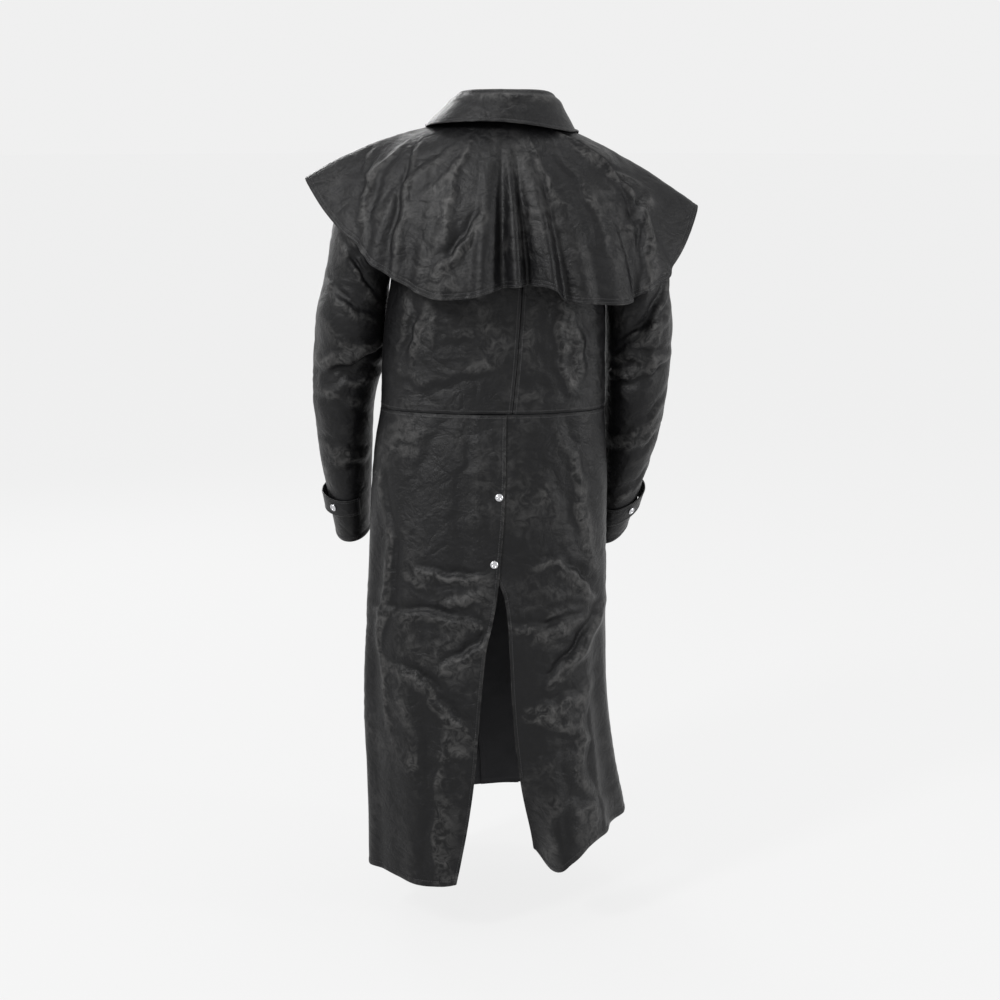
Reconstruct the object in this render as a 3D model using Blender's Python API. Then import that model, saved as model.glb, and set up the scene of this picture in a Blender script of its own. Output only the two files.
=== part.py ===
"""A long leather duster coat with a shoulder cape, filled out as worn.

Metres, +Z up. The origin is the middle of the neck, level with the wearer's
shoulders. The front faces -Y, the back +Y, and the wearer's left is +X.
"""

import math
from collections import namedtuple

import bmesh
import bpy
from mathutils import Vector

# Driving sizes
WALL = 0.002
SEAM_GAP = 0.0003
LAP_LIFT = 0.0034
WAIST_Z = -0.452
UNDERARM_Z = -0.250
HEM_LEVEL = -1.190
SKIRT_ROWS = 14
WAIST_ROWS = 4
YOKE_ROWS = 9
SIDE_ANGLE = math.radians(90.0)
SIDE_GAP_ANGLE = SEAM_GAP / 0.3
SKIRT_GAP_ANGLE = SEAM_GAP / 0.4
BACK_POWER = 2.3
FRONT_POWER = 2.0
CUFF_TAB_WIDTH = 0.030
CUFF_TAB_ALONG = {1: 0.885, -1: 0.915}
CUFF_TAB_LIFT = 0.0027
CUFF_TAB_SLACK = 0.0068
CUFF_TAB_SLACK_ANGLE = 8.0
CUFF_TAB_BACK_END = 120
CUFF_TAB_FRONT_END = -70
SLEEVE_LENGTH = 0.60
SLEEVE_SEGMENTS = 18
SNAP_RADIUS = 0.0064
SNAP_HEIGHT = 0.0030
FRONT_LAP = 0.034
FRONT_SNAP_IN = 0.012
CUFF_SNAP_ANGLE = 48.0
FRONT_SNAP_HEIGHTS = (-0.145, -0.275, -0.405, -0.535, -0.665)
LAP_RAMP = 0.020
VENT_LAP = 0.055
CURL_REACH = 0.055
VENT_CLOSING = 0.16
FRONT_LAP_REACH = 0.070
FOLD_GROWTH = 0.50
CAPE_END_ANGLE = 164.0

# The body's rings: left and right are X at the widest place, back and front are Y
# at the middle, wide_left and wide_right are the Y of the widest place on each side
Ring = namedtuple("Ring", "z left right back front wide_left wide_right")
BODY = (
    Ring(-1.250, 0.216, -0.212, 0.222, -0.190, 0.085, -0.020),
    Ring(-1.140, 0.215, -0.204, 0.220, -0.186, 0.080, -0.005),
    Ring(-1.040, 0.218, -0.187, 0.216, -0.180, 0.070, 0.020),
    Ring(-0.900, 0.222, -0.173, 0.206, -0.168, 0.060, 0.045),
    Ring(-0.700, 0.219, -0.170, 0.188, -0.148, 0.052, 0.052),
    Ring(-0.560, 0.211, -0.170, 0.168, -0.132, 0.045, 0.050),
    Ring(-0.500, 0.204, -0.168, 0.157, -0.127, 0.045, 0.046),
    Ring(WAIST_Z, 0.196, -0.166, 0.148, -0.124, 0.045, 0.045),
    Ring(-0.360, 0.192, -0.166, 0.140, -0.130, 0.042, 0.042),
    Ring(-0.300, 0.186, -0.166, 0.139, -0.133, 0.030, 0.030),
    Ring(UNDERARM_Z, 0.179, -0.164, 0.138, -0.136, 0.004, 0.004),
)
# Where the middle seam of the upper back and of the yoke runs
SeamPoint = namedtuple("SeamPoint", "z x")
BACK_SEAM = (SeamPoint(WAIST_Z, -0.016), SeamPoint(-0.370, -0.024), SeamPoint(UNDERARM_Z, -0.032))

# Height of the hem round the body, by angle from the middle of the back
HemPoint = namedtuple("HemPoint", "angle z")
HEM = (
    HemPoint(-190.0, -1.186),
    HemPoint(-180.0, -1.184),
    HemPoint(-140.0, -1.172),
    HemPoint(-100.0, -1.150),
    HemPoint(-70.0, -1.152),
    HemPoint(-45.0, -1.158),
    HemPoint(-30.0, -1.180),
    HemPoint(-20.0, -1.202),
    HemPoint(-10.0, -1.168),
    HemPoint(20.0, -1.212),
    HemPoint(60.0, -1.208),
    HemPoint(100.0, -1.210),
    HemPoint(150.0, -1.190),
    HemPoint(190.0, -1.184),
)

# The two edges of the back vent: the left panel lies over the right one
VentRow = namedtuple("VentRow", "z left_edge right_edge curl")
VENT = (
    VentRow(-1.250, 0.088, -0.060, 0.085),
    VentRow(-1.160, 0.067, -0.048, 0.060),
    VentRow(-1.040, 0.0450, -0.028, 0.026),
    VentRow(-0.930, 0.0350, -0.017, 0.008),
    VentRow(-0.830, 0.025, -0.0115, 0.0),
    VentRow(-0.780, 0.014, -0.008, 0.0),
    VentRow(-0.738, 0.007, -0.001, 0.0),
    VentRow(-0.690, 0.0025, 0.017, 0.0),
    VentRow(-0.600, -0.0040, 0.028, 0.0),
    VentRow(WAIST_Z, -0.0070, 0.030, 0.0),
)
VENT_CLOSED_Z = -0.70
VENT_SNAPS = ((0.0047, -0.5790), (0.0123, -0.6840))

# Soft vertical folds in the skirt: angle and width in degrees, how far the cloth
# is pushed out (or in) at the hem, and the height at which the fold dies out
Fold = namedtuple("Fold", "angle width push top drift")
SKIRT_FOLDS = (
    Fold(70.0, 13.0, 0.010, -0.52, 6.0),
    Fold(86.0, 9.0, -0.011, -0.55, 4.0),
    Fold(103.0, 11.0, 0.010, -0.60, 2.0),
    Fold(38.0, 16.0, 0.006, -0.70, -4.0),
    Fold(-34.0, 14.0, 0.007, -0.80, 3.0),
    Fold(-62.0, 13.0, -0.010, -0.58, -5.0),
    Fold(-80.0, 10.0, 0.011, -0.90, -3.0),
    Fold(-98.0, 10.0, 0.016, -0.98, 2.0),
    Fold(-118.0, 12.0, -0.008, -0.70, 2.0),
    Fold(128.0, 13.0, -0.009, -0.66, -2.0),
    Fold(150.0, 12.0, 0.008, -0.72, 2.0),
    Fold(-146.0, 13.0, 0.009, -0.70, -2.0),
)

# Neck, shoulder and armhole
NECK_HALF_WIDTH = 0.078
NECK_BACK = 0.070
NECK_FRONT = 0.080
NECK_Y = 0.008
NECK_DROP = -0.074
NECK_POINT_ANGLE = 78.0
NECK_SEAM_ANGLE = -9.0
Shoulder = namedtuple("Shoulder", "x y z")
SHOULDER_TIP = {1: Shoulder(0.210, 0.004, -0.070), -1: Shoulder(-0.206, 0.004, -0.096)}
ARMHOLE_HALF_DEPTH = 0.080
ARMHOLE_WAIST_IN = 0.014
ARMHOLE_SEAM = 0.0010
NECK_SHARE = 0.42
# Columns of the upper back and the fronts, as shares from the middle to the armhole
BACK_COLUMNS = (0.0, 0.084, 0.168, 0.252, 0.336, 0.42, 0.565, 0.71, 0.855, 1.0)
FRONT_COLUMNS = (1.0, 0.884, 0.768, 0.652, 0.536, 0.42, 0.332, 0.243, 0.155, 0.067, -0.02, -0.11)

# The sleeves' rings, from the armhole to the cuff: the outer and the inner edge seen
# from behind, the Y of the middle and the half depth along Y
Section = namedtuple("Section", "outer_x outer_z inner_x inner_z y deep")
SLEEVES = {
    1: (
        Section(0.2100, -0.070, 0.1790, -0.250, 0.004, 0.0800),
        Section(0.2560, -0.115, 0.1828, -0.262, 0.002, 0.0800),
        Section(0.2760, -0.190, 0.1845, -0.286, 0.000, 0.0810),
        Section(0.2925, -0.280, 0.1880, -0.330, 0.000, 0.0810),
        Section(0.3055, -0.370, 0.1935, -0.382, -0.006, 0.0750),
        Section(0.3085, -0.450, 0.2100, -0.452, -0.018, 0.0650),
        Section(0.3045, -0.535, 0.2170, -0.530, -0.038, 0.0600),
        Section(0.2930, -0.620, 0.2210, -0.612, -0.062, 0.0550),
        Section(0.2820, -0.690, 0.2230, -0.680, -0.082, 0.0500),
    ),
    -1: (
        Section(-0.2060, -0.096, -0.1640, -0.250, 0.004, 0.0800),
        Section(-0.2470, -0.135, -0.1675, -0.264, 0.004, 0.0780),
        Section(-0.2630, -0.205, -0.1675, -0.290, 0.002, 0.0760),
        Section(-0.2730, -0.290, -0.1675, -0.335, -0.001, 0.0735),
        Section(-0.2760, -0.370, -0.1675, -0.385, -0.006, 0.0700),
        Section(-0.2710, -0.440, -0.1670, -0.448, -0.014, 0.0660),
        Section(-0.2590, -0.520, -0.1660, -0.528, -0.040, 0.0610),
        Section(-0.2370, -0.604, -0.1600, -0.616, -0.076, 0.0550),
        Section(-0.2180, -0.678, -0.1520, -0.698, -0.114, 0.0500),
    ),
}
KeyedSection = namedtuple("KeyedSection", ("at",) + Section._fields)
# Large bends and bulges of the sleeves: share of the length, angle round the tube
# (0 outer, 90 back, 180 inner) and the push outwards
Bulge = namedtuple("Bulge", "along angle length width push")
SLEEVE_BULGES = {
    1: (
        Bulge(0.30, 70.0, 0.055, 80.0, -0.004),
        Bulge(0.40, 60.0, 0.075, 90.0, 0.007),
        Bulge(0.515, 110.0, 0.045, 80.0, -0.007),
        Bulge(0.62, 50.0, 0.08, 90.0, 0.003),
        Bulge(0.46, -90.0, 0.06, 80.0, 0.005),
        Bulge(0.55, -90.0, 0.04, 80.0, -0.006),
    ),
    -1: (
        Bulge(0.26, 100.0, 0.05, 70.0, -0.006),
        Bulge(0.42, 60.0, 0.08, 90.0, 0.006),
        Bulge(0.50, 120.0, 0.045, 70.0, -0.006),
        Bulge(0.60, 80.0, 0.07, 80.0, 0.004),
        Bulge(0.55, -90.0, 0.05, 80.0, -0.006),
        Bulge(0.44, -90.0, 0.06, 80.0, 0.005),
    ),
}

# The cape: for each angle round the neck, its hem and the point that its fall bends round
CapeRib = namedtuple("CapeRib", "angle hem_x hem_y hem_z bend_x bend_y bend_z")
CAPE = (
    CapeRib(-164.0, -0.050, -0.176, -0.215, -0.040, -0.135, -0.110),
    CapeRib(-152.0, -0.085, -0.178, -0.245, -0.075, -0.140, -0.090),
    CapeRib(-136.0, -0.150, -0.165, -0.262, -0.125, -0.120, -0.070),
    CapeRib(-118.0, -0.222, -0.120, -0.245, -0.175, -0.078, -0.058),
    CapeRib(-104.0, -0.286, -0.058, -0.190, -0.195, -0.036, -0.059),
    CapeRib(-91.0, -0.315, -0.004, -0.136, -0.207, 0.004, -0.056),
    CapeRib(-78.0, -0.296, 0.044, -0.186, -0.205, 0.040, -0.054),
    CapeRib(-63.0, -0.260, 0.094, -0.236, -0.190, 0.080, -0.058),
    CapeRib(-45.0, -0.205, 0.148, -0.275, -0.150, 0.118, -0.060),
    CapeRib(-28.0, -0.134, 0.175, -0.276, -0.095, 0.145, -0.062),
    CapeRib(-20.5, -0.100, 0.182, -0.270, -0.070, 0.152, -0.062),
    CapeRib(-15.0, -0.076, 0.187, -0.253, -0.055, 0.157, -0.062),
    CapeRib(-11.0, -0.060, 0.189, -0.248, -0.042, 0.159, -0.062),
    CapeRib(0.0, -0.010, 0.192, -0.250, -0.004, 0.162, -0.062),
    CapeRib(13.0, 0.050, 0.190, -0.266, 0.040, 0.158, -0.060),
    CapeRib(30.0, 0.108, 0.176, -0.267, 0.092, 0.144, -0.052),
    CapeRib(47.0, 0.165, 0.150, -0.243, 0.140, 0.112, -0.040),
    CapeRib(63.0, 0.222, 0.112, -0.200, 0.180, 0.076, -0.032),
    CapeRib(77.0, 0.281, 0.054, -0.142, 0.200, 0.040, -0.031),
    CapeRib(89.0, 0.316, 0.000, -0.092, 0.206, 0.004, -0.024),
    CapeRib(103.0, 0.276, -0.058, -0.142, 0.200, -0.036, -0.033),
    CapeRib(118.0, 0.220, -0.118, -0.205, 0.178, -0.078, -0.040),
    CapeRib(136.0, 0.150, -0.163, -0.250, 0.125, -0.120, -0.062),
    CapeRib(152.0, 0.086, -0.178, -0.245, 0.075, -0.140, -0.088),
    CapeRib(164.0, 0.050, -0.176, -0.215, 0.040, -0.135, -0.108),
)
# Flutes of the cape: angle and width in degrees, push at the hem, where they start
# down the cape (0 neck, 1 hem), and how far they lean towards the hem
Flute = namedtuple("Flute", "angle width push start lean")
CAPE_FLUTES = (
    Flute(8.0, 5.0, 0.010, 0.15, 1.0),
    Flute(1.5, 3.8, -0.020, 0.12, 0.5),
    Flute(-2.8, 3.0, 0.008, 0.15, 0.0),
    Flute(-6.8, 3.6, -0.021, 0.12, -0.5),
    Flute(-13.5, 4.8, 0.015, 0.12, -1.5),
    Flute(-20.5, 3.6, -0.009, 0.20, -1.0),
    Flute(-27.0, 5.0, 0.005, 0.30, -1.0),
    Flute(-38.0, 8.0, 0.007, 0.35, 0.0),
    Flute(-51.0, 4.6, -0.013, 0.45, 2.0),
    Flute(-61.0, 6.0, 0.010, 0.40, 0.0),
    Flute(27.0, 8.0, 0.006, 0.40, 0.0),
    Flute(40.0, 6.0, -0.006, 0.45, 3.0),
    Flute(54.0, 5.0, 0.007, 0.45, 3.0),
    Flute(64.0, 4.0, -0.006, 0.55, 2.0),
    Flute(112.0, 7.0, -0.008, 0.40, 0.0),
    Flute(128.0, 8.0, 0.009, 0.35, 0.0),
    Flute(144.0, 6.0, -0.006, 0.45, 0.0),
    Flute(-114.0, 7.0, -0.008, 0.40, 0.0),
    Flute(-130.0, 8.0, 0.009, 0.35, 0.0),
    Flute(-146.0, 6.0, -0.006, 0.45, 0.0),
)

# The collar's fall, from its fold to its lower edge: distance out from the neck seam
# and height over it at the back, and the extra reach at the sides and the front points
CollarRow = namedtuple("CollarRow", "out up side_out side_up point_out point_up")
COLLAR_ROWS = (
    CollarRow(-0.0040, 0.0455, 0.000, 0.000, 0.000, 0.000),
    CollarRow(0.0010, 0.0464, 0.001, -0.001, 0.000, -0.001),
    CollarRow(0.0070, 0.0430, 0.002, -0.003, 0.001, -0.004),
    CollarRow(0.0150, 0.0300, 0.006, -0.006, 0.002, -0.014),
    CollarRow(0.0240, 0.0150, 0.009, -0.009, 0.004, -0.026),
    CollarRow(0.0330, -0.0020, 0.011, -0.010, 0.007, -0.040),
)
STAND_OUT = -0.0010
STAND_RISE = 0.0014
STAND_SET_OUT = 0.0026
STAND_SET_DOWN = 0.0030
COLLAR_END_ANGLE = 157.0
COLLAR_LEAN = 0.007
COLLAR_LEFT_IN = 0.010
COLLAR_CLEARANCE = 0.0046

BLACK_LEATHER = (0.020, 0.020, 0.021)
NICKEL = (0.62, 0.62, 0.64)


def smooth(t):
    t = min(1.0, max(0.0, t))
    return t * t * (3.0 - 2.0 * t)


def mix(a, b, t):
    return a + (b - a) * t


def hump(value, middle, half_width):
    """A soft bump, 1 at the middle and 0 at either side."""
    d = (value - middle) / half_width
    return 0.0 if abs(d) >= 1.0 else 0.5 + 0.5 * math.cos(math.pi * d)


def read(rows, column, at, key=0):
    """The value of a table's column at a place between its rows, on a smooth curve."""
    keys = [row[key] for row in rows]
    at = min(keys[-1], max(keys[0], at))
    i = next(n for n in range(len(keys) - 1) if at <= keys[n + 1])
    values = [getattr(row, column) for row in rows]

    def slope(n):
        lo, hi = max(0, n - 1), min(len(keys) - 1, n + 1)
        return (values[hi] - values[lo]) / (keys[hi] - keys[lo])

    span = keys[i + 1] - keys[i]
    t = (at - keys[i]) / span
    a = (1 + 2 * t) * (1 - t) ** 2
    b = t * (1 - t) ** 2
    c = t * t * (3 - 2 * t)
    d = t * t * (t - 1)
    return a * values[i] + b * span * slope(i) + c * values[i + 1] + d * span * slope(i + 1)


def signed_power(value, power):
    return math.copysign(abs(value) ** power, value)


def ring_frame(z, angle):
    """Centre, half width, widest Y, depth and power of the body's ring on this side."""
    left, right = read(BODY, "left", z), read(BODY, "right", z)
    wide = read(BODY, "wide_left" if math.sin(angle) >= 0 else "wide_right", z)
    at_back = math.cos(angle) >= 0
    end = read(BODY, "back" if at_back else "front", z)
    power = BACK_POWER if at_back else FRONT_POWER
    return (left + right) / 2, (left - right) / 2, wide, abs(end - wide), power


def angle_of(z, x, at_back=True):
    """The angle round the body's ring where the cloth has this X."""
    middle, half, _, _, power = ring_frame(z, 0.0 if at_back else math.pi)
    s = signed_power((x - middle) / half, power / 2)
    angle = math.asin(max(-1.0, min(1.0, s)))
    return angle if at_back else math.pi - angle


def fold_push(z, angle):
    """How far the skirt's folds move the cloth at this place."""
    total = 0.0
    for fold in SKIRT_FOLDS:
        grown = smooth((fold.top - z) / FOLD_GROWTH)
        middle = fold.angle + fold.drift * grown
        turn = (math.degrees(angle) - middle + 180.0) % 360.0 - 180.0
        total += fold.push * grown * hump(turn, 0.0, fold.width)
    return total


def body_point(z, angle):
    """A point of the coat's outer surface on the body's ring at this height."""
    middle, half, wide, depth, power = ring_frame(z, angle)
    s, c = math.sin(angle), math.cos(angle)
    out = fold_push(z, angle)
    x = middle + half * signed_power(s, 2 / power) + out * s
    y = wide + depth * signed_power(c, 2 / power) + out * c
    return Vector((x, y, z))


def hem_z(angle):
    return read(HEM, "z", math.degrees(angle))


def neck_point(degrees, out=0.0, up=0.0):
    """A point at the neck seam, moved out and up from it."""
    a = math.radians(degrees)
    depth = NECK_BACK if math.cos(a) >= 0 else NECK_FRONT
    drop = NECK_DROP * ((1 - math.cos(a)) / 2) ** 3
    x = (NECK_HALF_WIDTH + out) * math.sin(a)
    y = NECK_Y + (depth + out) * math.cos(a)
    return Vector((x, y, drop + up))


def underarm(side):
    return body_point(UNDERARM_Z, side * SIDE_ANGLE)


def armhole_point(side, degrees):
    """A point of the armhole: 0 at the shoulder tip, 90 at the back, 180 underarm."""
    a = math.radians(degrees)
    top, low = Vector(SHOULDER_TIP[side]), underarm(side)
    point = top * (1 + math.cos(a)) / 2 + low * (1 - math.cos(a)) / 2
    point.y += ARMHOLE_HALF_DEPTH * math.sin(a)
    point.x -= side * ARMHOLE_WAIST_IN * math.sin(a) ** 2
    return point


def yoke_point(side, across, up, at_back):
    """The body above the underarm: across 0 at the middle and 1 at the armhole.

    Across runs below 0 where a panel laps past the middle.
    """
    facing = 1 if at_back else -1
    middle_x = BACK_SEAM[-1].x if at_back else body_point(UNDERARM_Z, math.pi).x
    start = body_point(UNDERARM_Z, angle_of(UNDERARM_Z, middle_x, at_back))
    neck = neck_point(NECK_SEAM_ANGLE if at_back else 180.0)
    middle = start.lerp(neck, up)
    middle.y = mix(start.y, neck.y, up ** 2.2) + facing * 0.016 * math.sin(math.pi * up)
    edge = armhole_point(side, facing * 180.0 * (1 - up))
    power = BACK_POWER if at_back else FRONT_POWER
    share = signed_power(math.sin(across * math.pi / 2), 2 / power)
    flat = abs(share) ** power
    point = Vector((
        mix(middle.x, edge.x, share),
        edge.y + (middle.y - edge.y) * (1 - min(1.0, flat)) ** (1 / power),
        mix(middle.z, edge.z, share * share),
    ))
    seam = Vector((0.0, facing * SEAM_GAP, 0.0))
    if across < NECK_SHARE:
        t = across / NECK_SHARE
        first = NECK_SEAM_ANGLE * side if at_back else 180.0
        top = neck_point(side * mix(first, NECK_POINT_ANGLE, t)) + seam * smooth(t)
    else:
        t = (across - NECK_SHARE) / (1 - NECK_SHARE)
        top = neck_point(side * NECK_POINT_ANGLE).lerp(Vector(SHOULDER_TIP[side]), t) + seam
    return point.lerp(top, smooth((up - 0.35) / 0.65))


def no_seams(row, column):
    return ()


def sheet(name, points, material, closed=False, flip=False, square=no_seams):
    """A closed cloth wall from its outer points, given as rows of one length.

    Square names the axes that the wall keeps out of at a seam, so that the two
    pieces' edges meet face to face there.
    """
    mesh = bpy.data.meshes.new(name)
    shape = bmesh.new()
    rows = [[shape.verts.new(p) for p in row] for row in points]
    width = len(rows[0])
    outer = []
    for low, high in zip(rows, rows[1:]):
        for i in range(width if closed else width - 1):
            j = (i + 1) % width
            corners = [low[i], low[j], high[j], high[i]]
            outer.append(shape.faces.new(corners[::-1] if flip else corners))
    shape.normal_update()
    rims = [edge.link_loops[0] for edge in shape.edges if edge.is_boundary]
    rims = [(loop.vert, loop.link_loop_next.vert) for loop in rims]
    inner = {}
    for r, row in enumerate(rows):
        for c, vert in enumerate(row):
            way = vert.normal.copy()
            for axis in square(r, c):
                way["XYZ".index(axis)] = 0.0
            inner[vert] = vert.co - way.normalized() * WALL
    inner = {vert: shape.verts.new(point) for vert, point in inner.items()}
    for face in outer:
        shape.faces.new([inner[vert] for vert in reversed(face.verts)])
    for a, b in rims:
        shape.faces.new((b, a, inner[a], inner[b]))
    shape.to_mesh(mesh)
    shape.free()
    piece = bpy.data.objects.new(name, mesh)
    bpy.context.scene.collection.objects.link(piece)
    mesh.materials.append(material)
    mesh.shade_smooth()
    return piece


def steps(count):
    return [i / count for i in range(count + 1)]


def back_upper(side, material):
    """Half of the upper back, from the waist seam to the shoulder, with a seam in the middle."""
    rows = []
    for up in steps(WAIST_ROWS):
        z = mix(WAIST_Z + SEAM_GAP, UNDERARM_Z, up)
        first = angle_of(z, read(BACK_SEAM, "x", z) + side * SEAM_GAP)
        last = side * (SIDE_ANGLE - SIDE_GAP_ANGLE)
        rows.append([body_point(z, mix(first, last, t)) for t in BACK_COLUMNS])
    for up in steps(YOKE_ROWS)[1:]:
        row = [yoke_point(side, t, up, True) for t in BACK_COLUMNS]
        row[0].x += side * mix(SEAM_GAP, 3 * SEAM_GAP, up)
        rows.append(row)

    def square(r, c):
        axes = "X" if c == 0 else ""
        axes += "Z" if r == 0 else ""
        at_side = c == len(BACK_COLUMNS) - 1 and r <= WAIST_ROWS
        at_shoulder = r == len(rows) - 1 and BACK_COLUMNS[c] >= NECK_SHARE
        return axes + ("Y" if at_side or at_shoulder else "")

    name = "back_upper_left" if side > 0 else "back_upper_right"
    return sheet(name, rows, material, flip=side > 0, square=square)


def back_skirt(side, material):
    """Half of the back skirt, from the waist seam to the hem, with its edge of the vent."""
    rows = []
    column = "left_edge" if side > 0 else "right_edge"
    for down in steps(SKIRT_ROWS):
        row = []
        for t in steps(12):
            across = t ** 1.25
            z_level = mix(WAIST_Z - SEAM_GAP / 2, HEM_LEVEL, down)
            edge_x = read(VENT, column, z_level)
            first = angle_of(z_level, edge_x)
            last = side * (SIDE_ANGLE - SKIRT_GAP_ANGLE)
            angle = mix(first, last, across)
            z = mix(WAIST_Z - SEAM_GAP / 2, hem_z(angle), down)
            point = body_point(z, angle)
            lap = smooth((VENT_LAP - point.x) / LAP_RAMP) if side > 0 else 0.0
            closed = smooth((z - VENT_CLOSED_Z + VENT_CLOSING) / VENT_CLOSING)
            point.y += LAP_LIFT * lap * max(closed, 0.3)
            if side < 0:
                reach = smooth(1.0 - (read(VENT, "right_edge", z) - point.x) / CURL_REACH)
                point.y -= read(VENT, "curl", z) * reach
            row.append(point)
        rows.append(row)

    def square(r, c):
        return ("Z" if r == 0 else "") + ("Y" if c == len(rows[0]) - 1 else "")

    name = "back_skirt_left" if side > 0 else "back_skirt_right"
    return sheet(name, rows, material, flip=side < 0, square=square)


def front(side, material):
    """One front, from the hem to the shoulder. The left one laps over the right."""
    rows = []
    lift = Vector((0.0, -0.9, 0.45)) * LAP_LIFT
    levels = [(HEM_LEVEL, t) for t in steps(SKIRT_ROWS)][:-1]
    levels += [(None, t) for t in steps(WAIST_ROWS)]
    for hem, up in levels:
        row = []
        for across in FRONT_COLUMNS:
            if hem:
                z_level = mix(hem, WAIST_Z, up)
            else:
                z_level = mix(WAIST_Z, UNDERARM_Z, up)
            middle_x = body_point(z_level, math.pi).x
            first = side * (SIDE_ANGLE + SIDE_GAP_ANGLE)
            last = side * angle_of(z_level, middle_x - FRONT_LAP, False)
            angle = mix(first, last, (1 - across) / (1 - FRONT_COLUMNS[-1]))
            z = mix(hem_z(angle), WAIST_Z, up) if hem else z_level
            point = body_point(z, angle)
            if side > 0:
                point.y -= LAP_LIFT * smooth((FRONT_LAP_REACH + middle_x - point.x) / LAP_RAMP)
            row.append(point)
        rows.append(row)
    for up in steps(YOKE_ROWS)[1:]:
        row = []
        for across in FRONT_COLUMNS:
            point = yoke_point(side, across, up, False)
            if side > 0:
                point += lift * smooth((FRONT_LAP_REACH - point.x) / LAP_RAMP)
            row.append(point)
        rows.append(row)

    def square(r, c):
        at_side = c == 0 and r <= SKIRT_ROWS + WAIST_ROWS
        at_shoulder = r == len(rows) - 1 and FRONT_COLUMNS[c] >= NECK_SHARE
        return "Y" if at_side or at_shoulder else ""

    name = "front_left" if side > 0 else "front_right"
    return sheet(name, rows, material, flip=side > 0, square=square)


def sleeve_point(side, along, degrees, lift=0.0):
    """A point of the sleeve: along 0 at the armhole and 1 at the cuff."""
    sections = SLEEVES[side]
    last = len(sections) - 1
    keyed = [KeyedSection(n, *row) for n, row in enumerate(sections)]

    def edge(which, where):
        x, y, z = (read(keyed, column, where) for column in (which + "_x", "y", which + "_z"))
        return Vector((x, y, z))

    at = along * last
    outer, inner = edge("outer", at), edge("inner", at)
    before, after = max(at - 0.2, 0.0), min(at + 0.2, last)
    way = edge("outer", after) + edge("inner", after) - edge("outer", before) - edge("inner", before)
    way.normalize()
    back = Vector((0.0, 1.0, 0.0))
    back = (back - way * back.dot(way) * smooth(along / 0.3)).normalized()
    a = math.radians(degrees)
    push = lift
    for bulge in SLEEVE_BULGES[side]:
        turn = (degrees - bulge.angle + 180.0) % 360.0 - 180.0
        push += bulge.push * hump(along, bulge.along, bulge.length) * hump(turn, 0.0, bulge.width)
    half = (outer - inner) / 2
    point = (outer + inner) / 2 + half * math.cos(a) + half.normalized() * push * math.cos(a)
    point += back * (read(keyed, "deep", at) + push) * math.sin(a)
    start = 1 - smooth(along / 0.12)
    point.x += side * start * (ARMHOLE_SEAM - ARMHOLE_WAIST_IN * math.sin(a) ** 2)
    return point


def sleeve(side, material):
    """A sleeve, as a tube that is open at the armhole and at the cuff."""
    rows = []
    for along in [0.0, 0.03, 0.07] + [mix(0.12, 1.0, t) for t in steps(16)]:
        turn = 360.0 / SLEEVE_SEGMENTS
        rows.append([sleeve_point(side, along, i * turn) for i in range(SLEEVE_SEGMENTS)])
    name = "sleeve_left" if side > 0 else "sleeve_right"
    return sheet(name, rows, material, closed=True, flip=side > 0)


def cuff_tab(side, material):
    """The strap round the cuff. It stands a little away from the sleeve's outer side."""
    rows = []
    for level in steps(2):
        row = []
        for degrees in range(CUFF_TAB_BACK_END, CUFF_TAB_FRONT_END - 1, -10):
            slack = CUFF_TAB_SLACK * hump(degrees, CUFF_TAB_SLACK_ANGLE, 62.0)
            along = CUFF_TAB_ALONG[side] + (level - 0.5) * CUFF_TAB_WIDTH / SLEEVE_LENGTH
            row.append(sleeve_point(side, along, degrees, CUFF_TAB_LIFT + slack))
        rows.append(row)
    name = "cuff_tab_left" if side > 0 else "cuff_tab_right"
    return sheet(name, rows, material, flip=side < 0)


def cape_point(degrees, down):
    """A point of the cape: down 0 at the neck and 1 at the hem."""
    over_front = smooth((abs(degrees) - 80.0) / 50.0)
    start = neck_point(degrees, out=0.0008 + 0.003 * over_front, up=0.0031 + 0.0053 * over_front)
    bend = Vector([read(CAPE, "bend_" + axis, degrees) for axis in "xyz"])
    hem = Vector([read(CAPE, "hem_" + axis, degrees) for axis in "xyz"])
    point = start * (1 - down) ** 2 + bend * 2 * down * (1 - down) + hem * down * down
    outward = Vector((hem.x, hem.y, 0.0)).normalized()
    push = 0.0
    for flute in CAPE_FLUTES:
        grown = smooth((down - flute.start) / (1.05 - flute.start))
        middle = flute.angle + flute.lean * grown
        push += flute.push * grown * hump(degrees, middle, flute.width)
    return point + outward * push


def cape_angles():
    """Angles of the cape's columns, close together over the flutes at the back."""
    angles = []
    angle = -CAPE_END_ANGLE
    while angle < CAPE_END_ANGLE - 0.1:
        angles.append(angle)
        close = hump(angle, -7.0, 44.0)
        angle += mix(7.0, 1.8, min(1.0, close * 1.6))
    return angles + [CAPE_END_ANGLE]


def cape(material):
    """The shoulder cape, one sheet from front edge to front edge."""
    rows = [[cape_point(a, down) for a in cape_angles()] for down in steps(8)]
    return sheet("cape", rows, material)


def cape_rise(degrees, out):
    """Height of the cape's surface over the neck seam, this far out from it."""
    seam = neck_point(degrees)
    for n in range(1, 60):
        point = cape_point(degrees, n / 100)
        if math.hypot(point.x - seam.x, point.y - seam.y) >= out:
            break
    return point.z - seam.z


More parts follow.
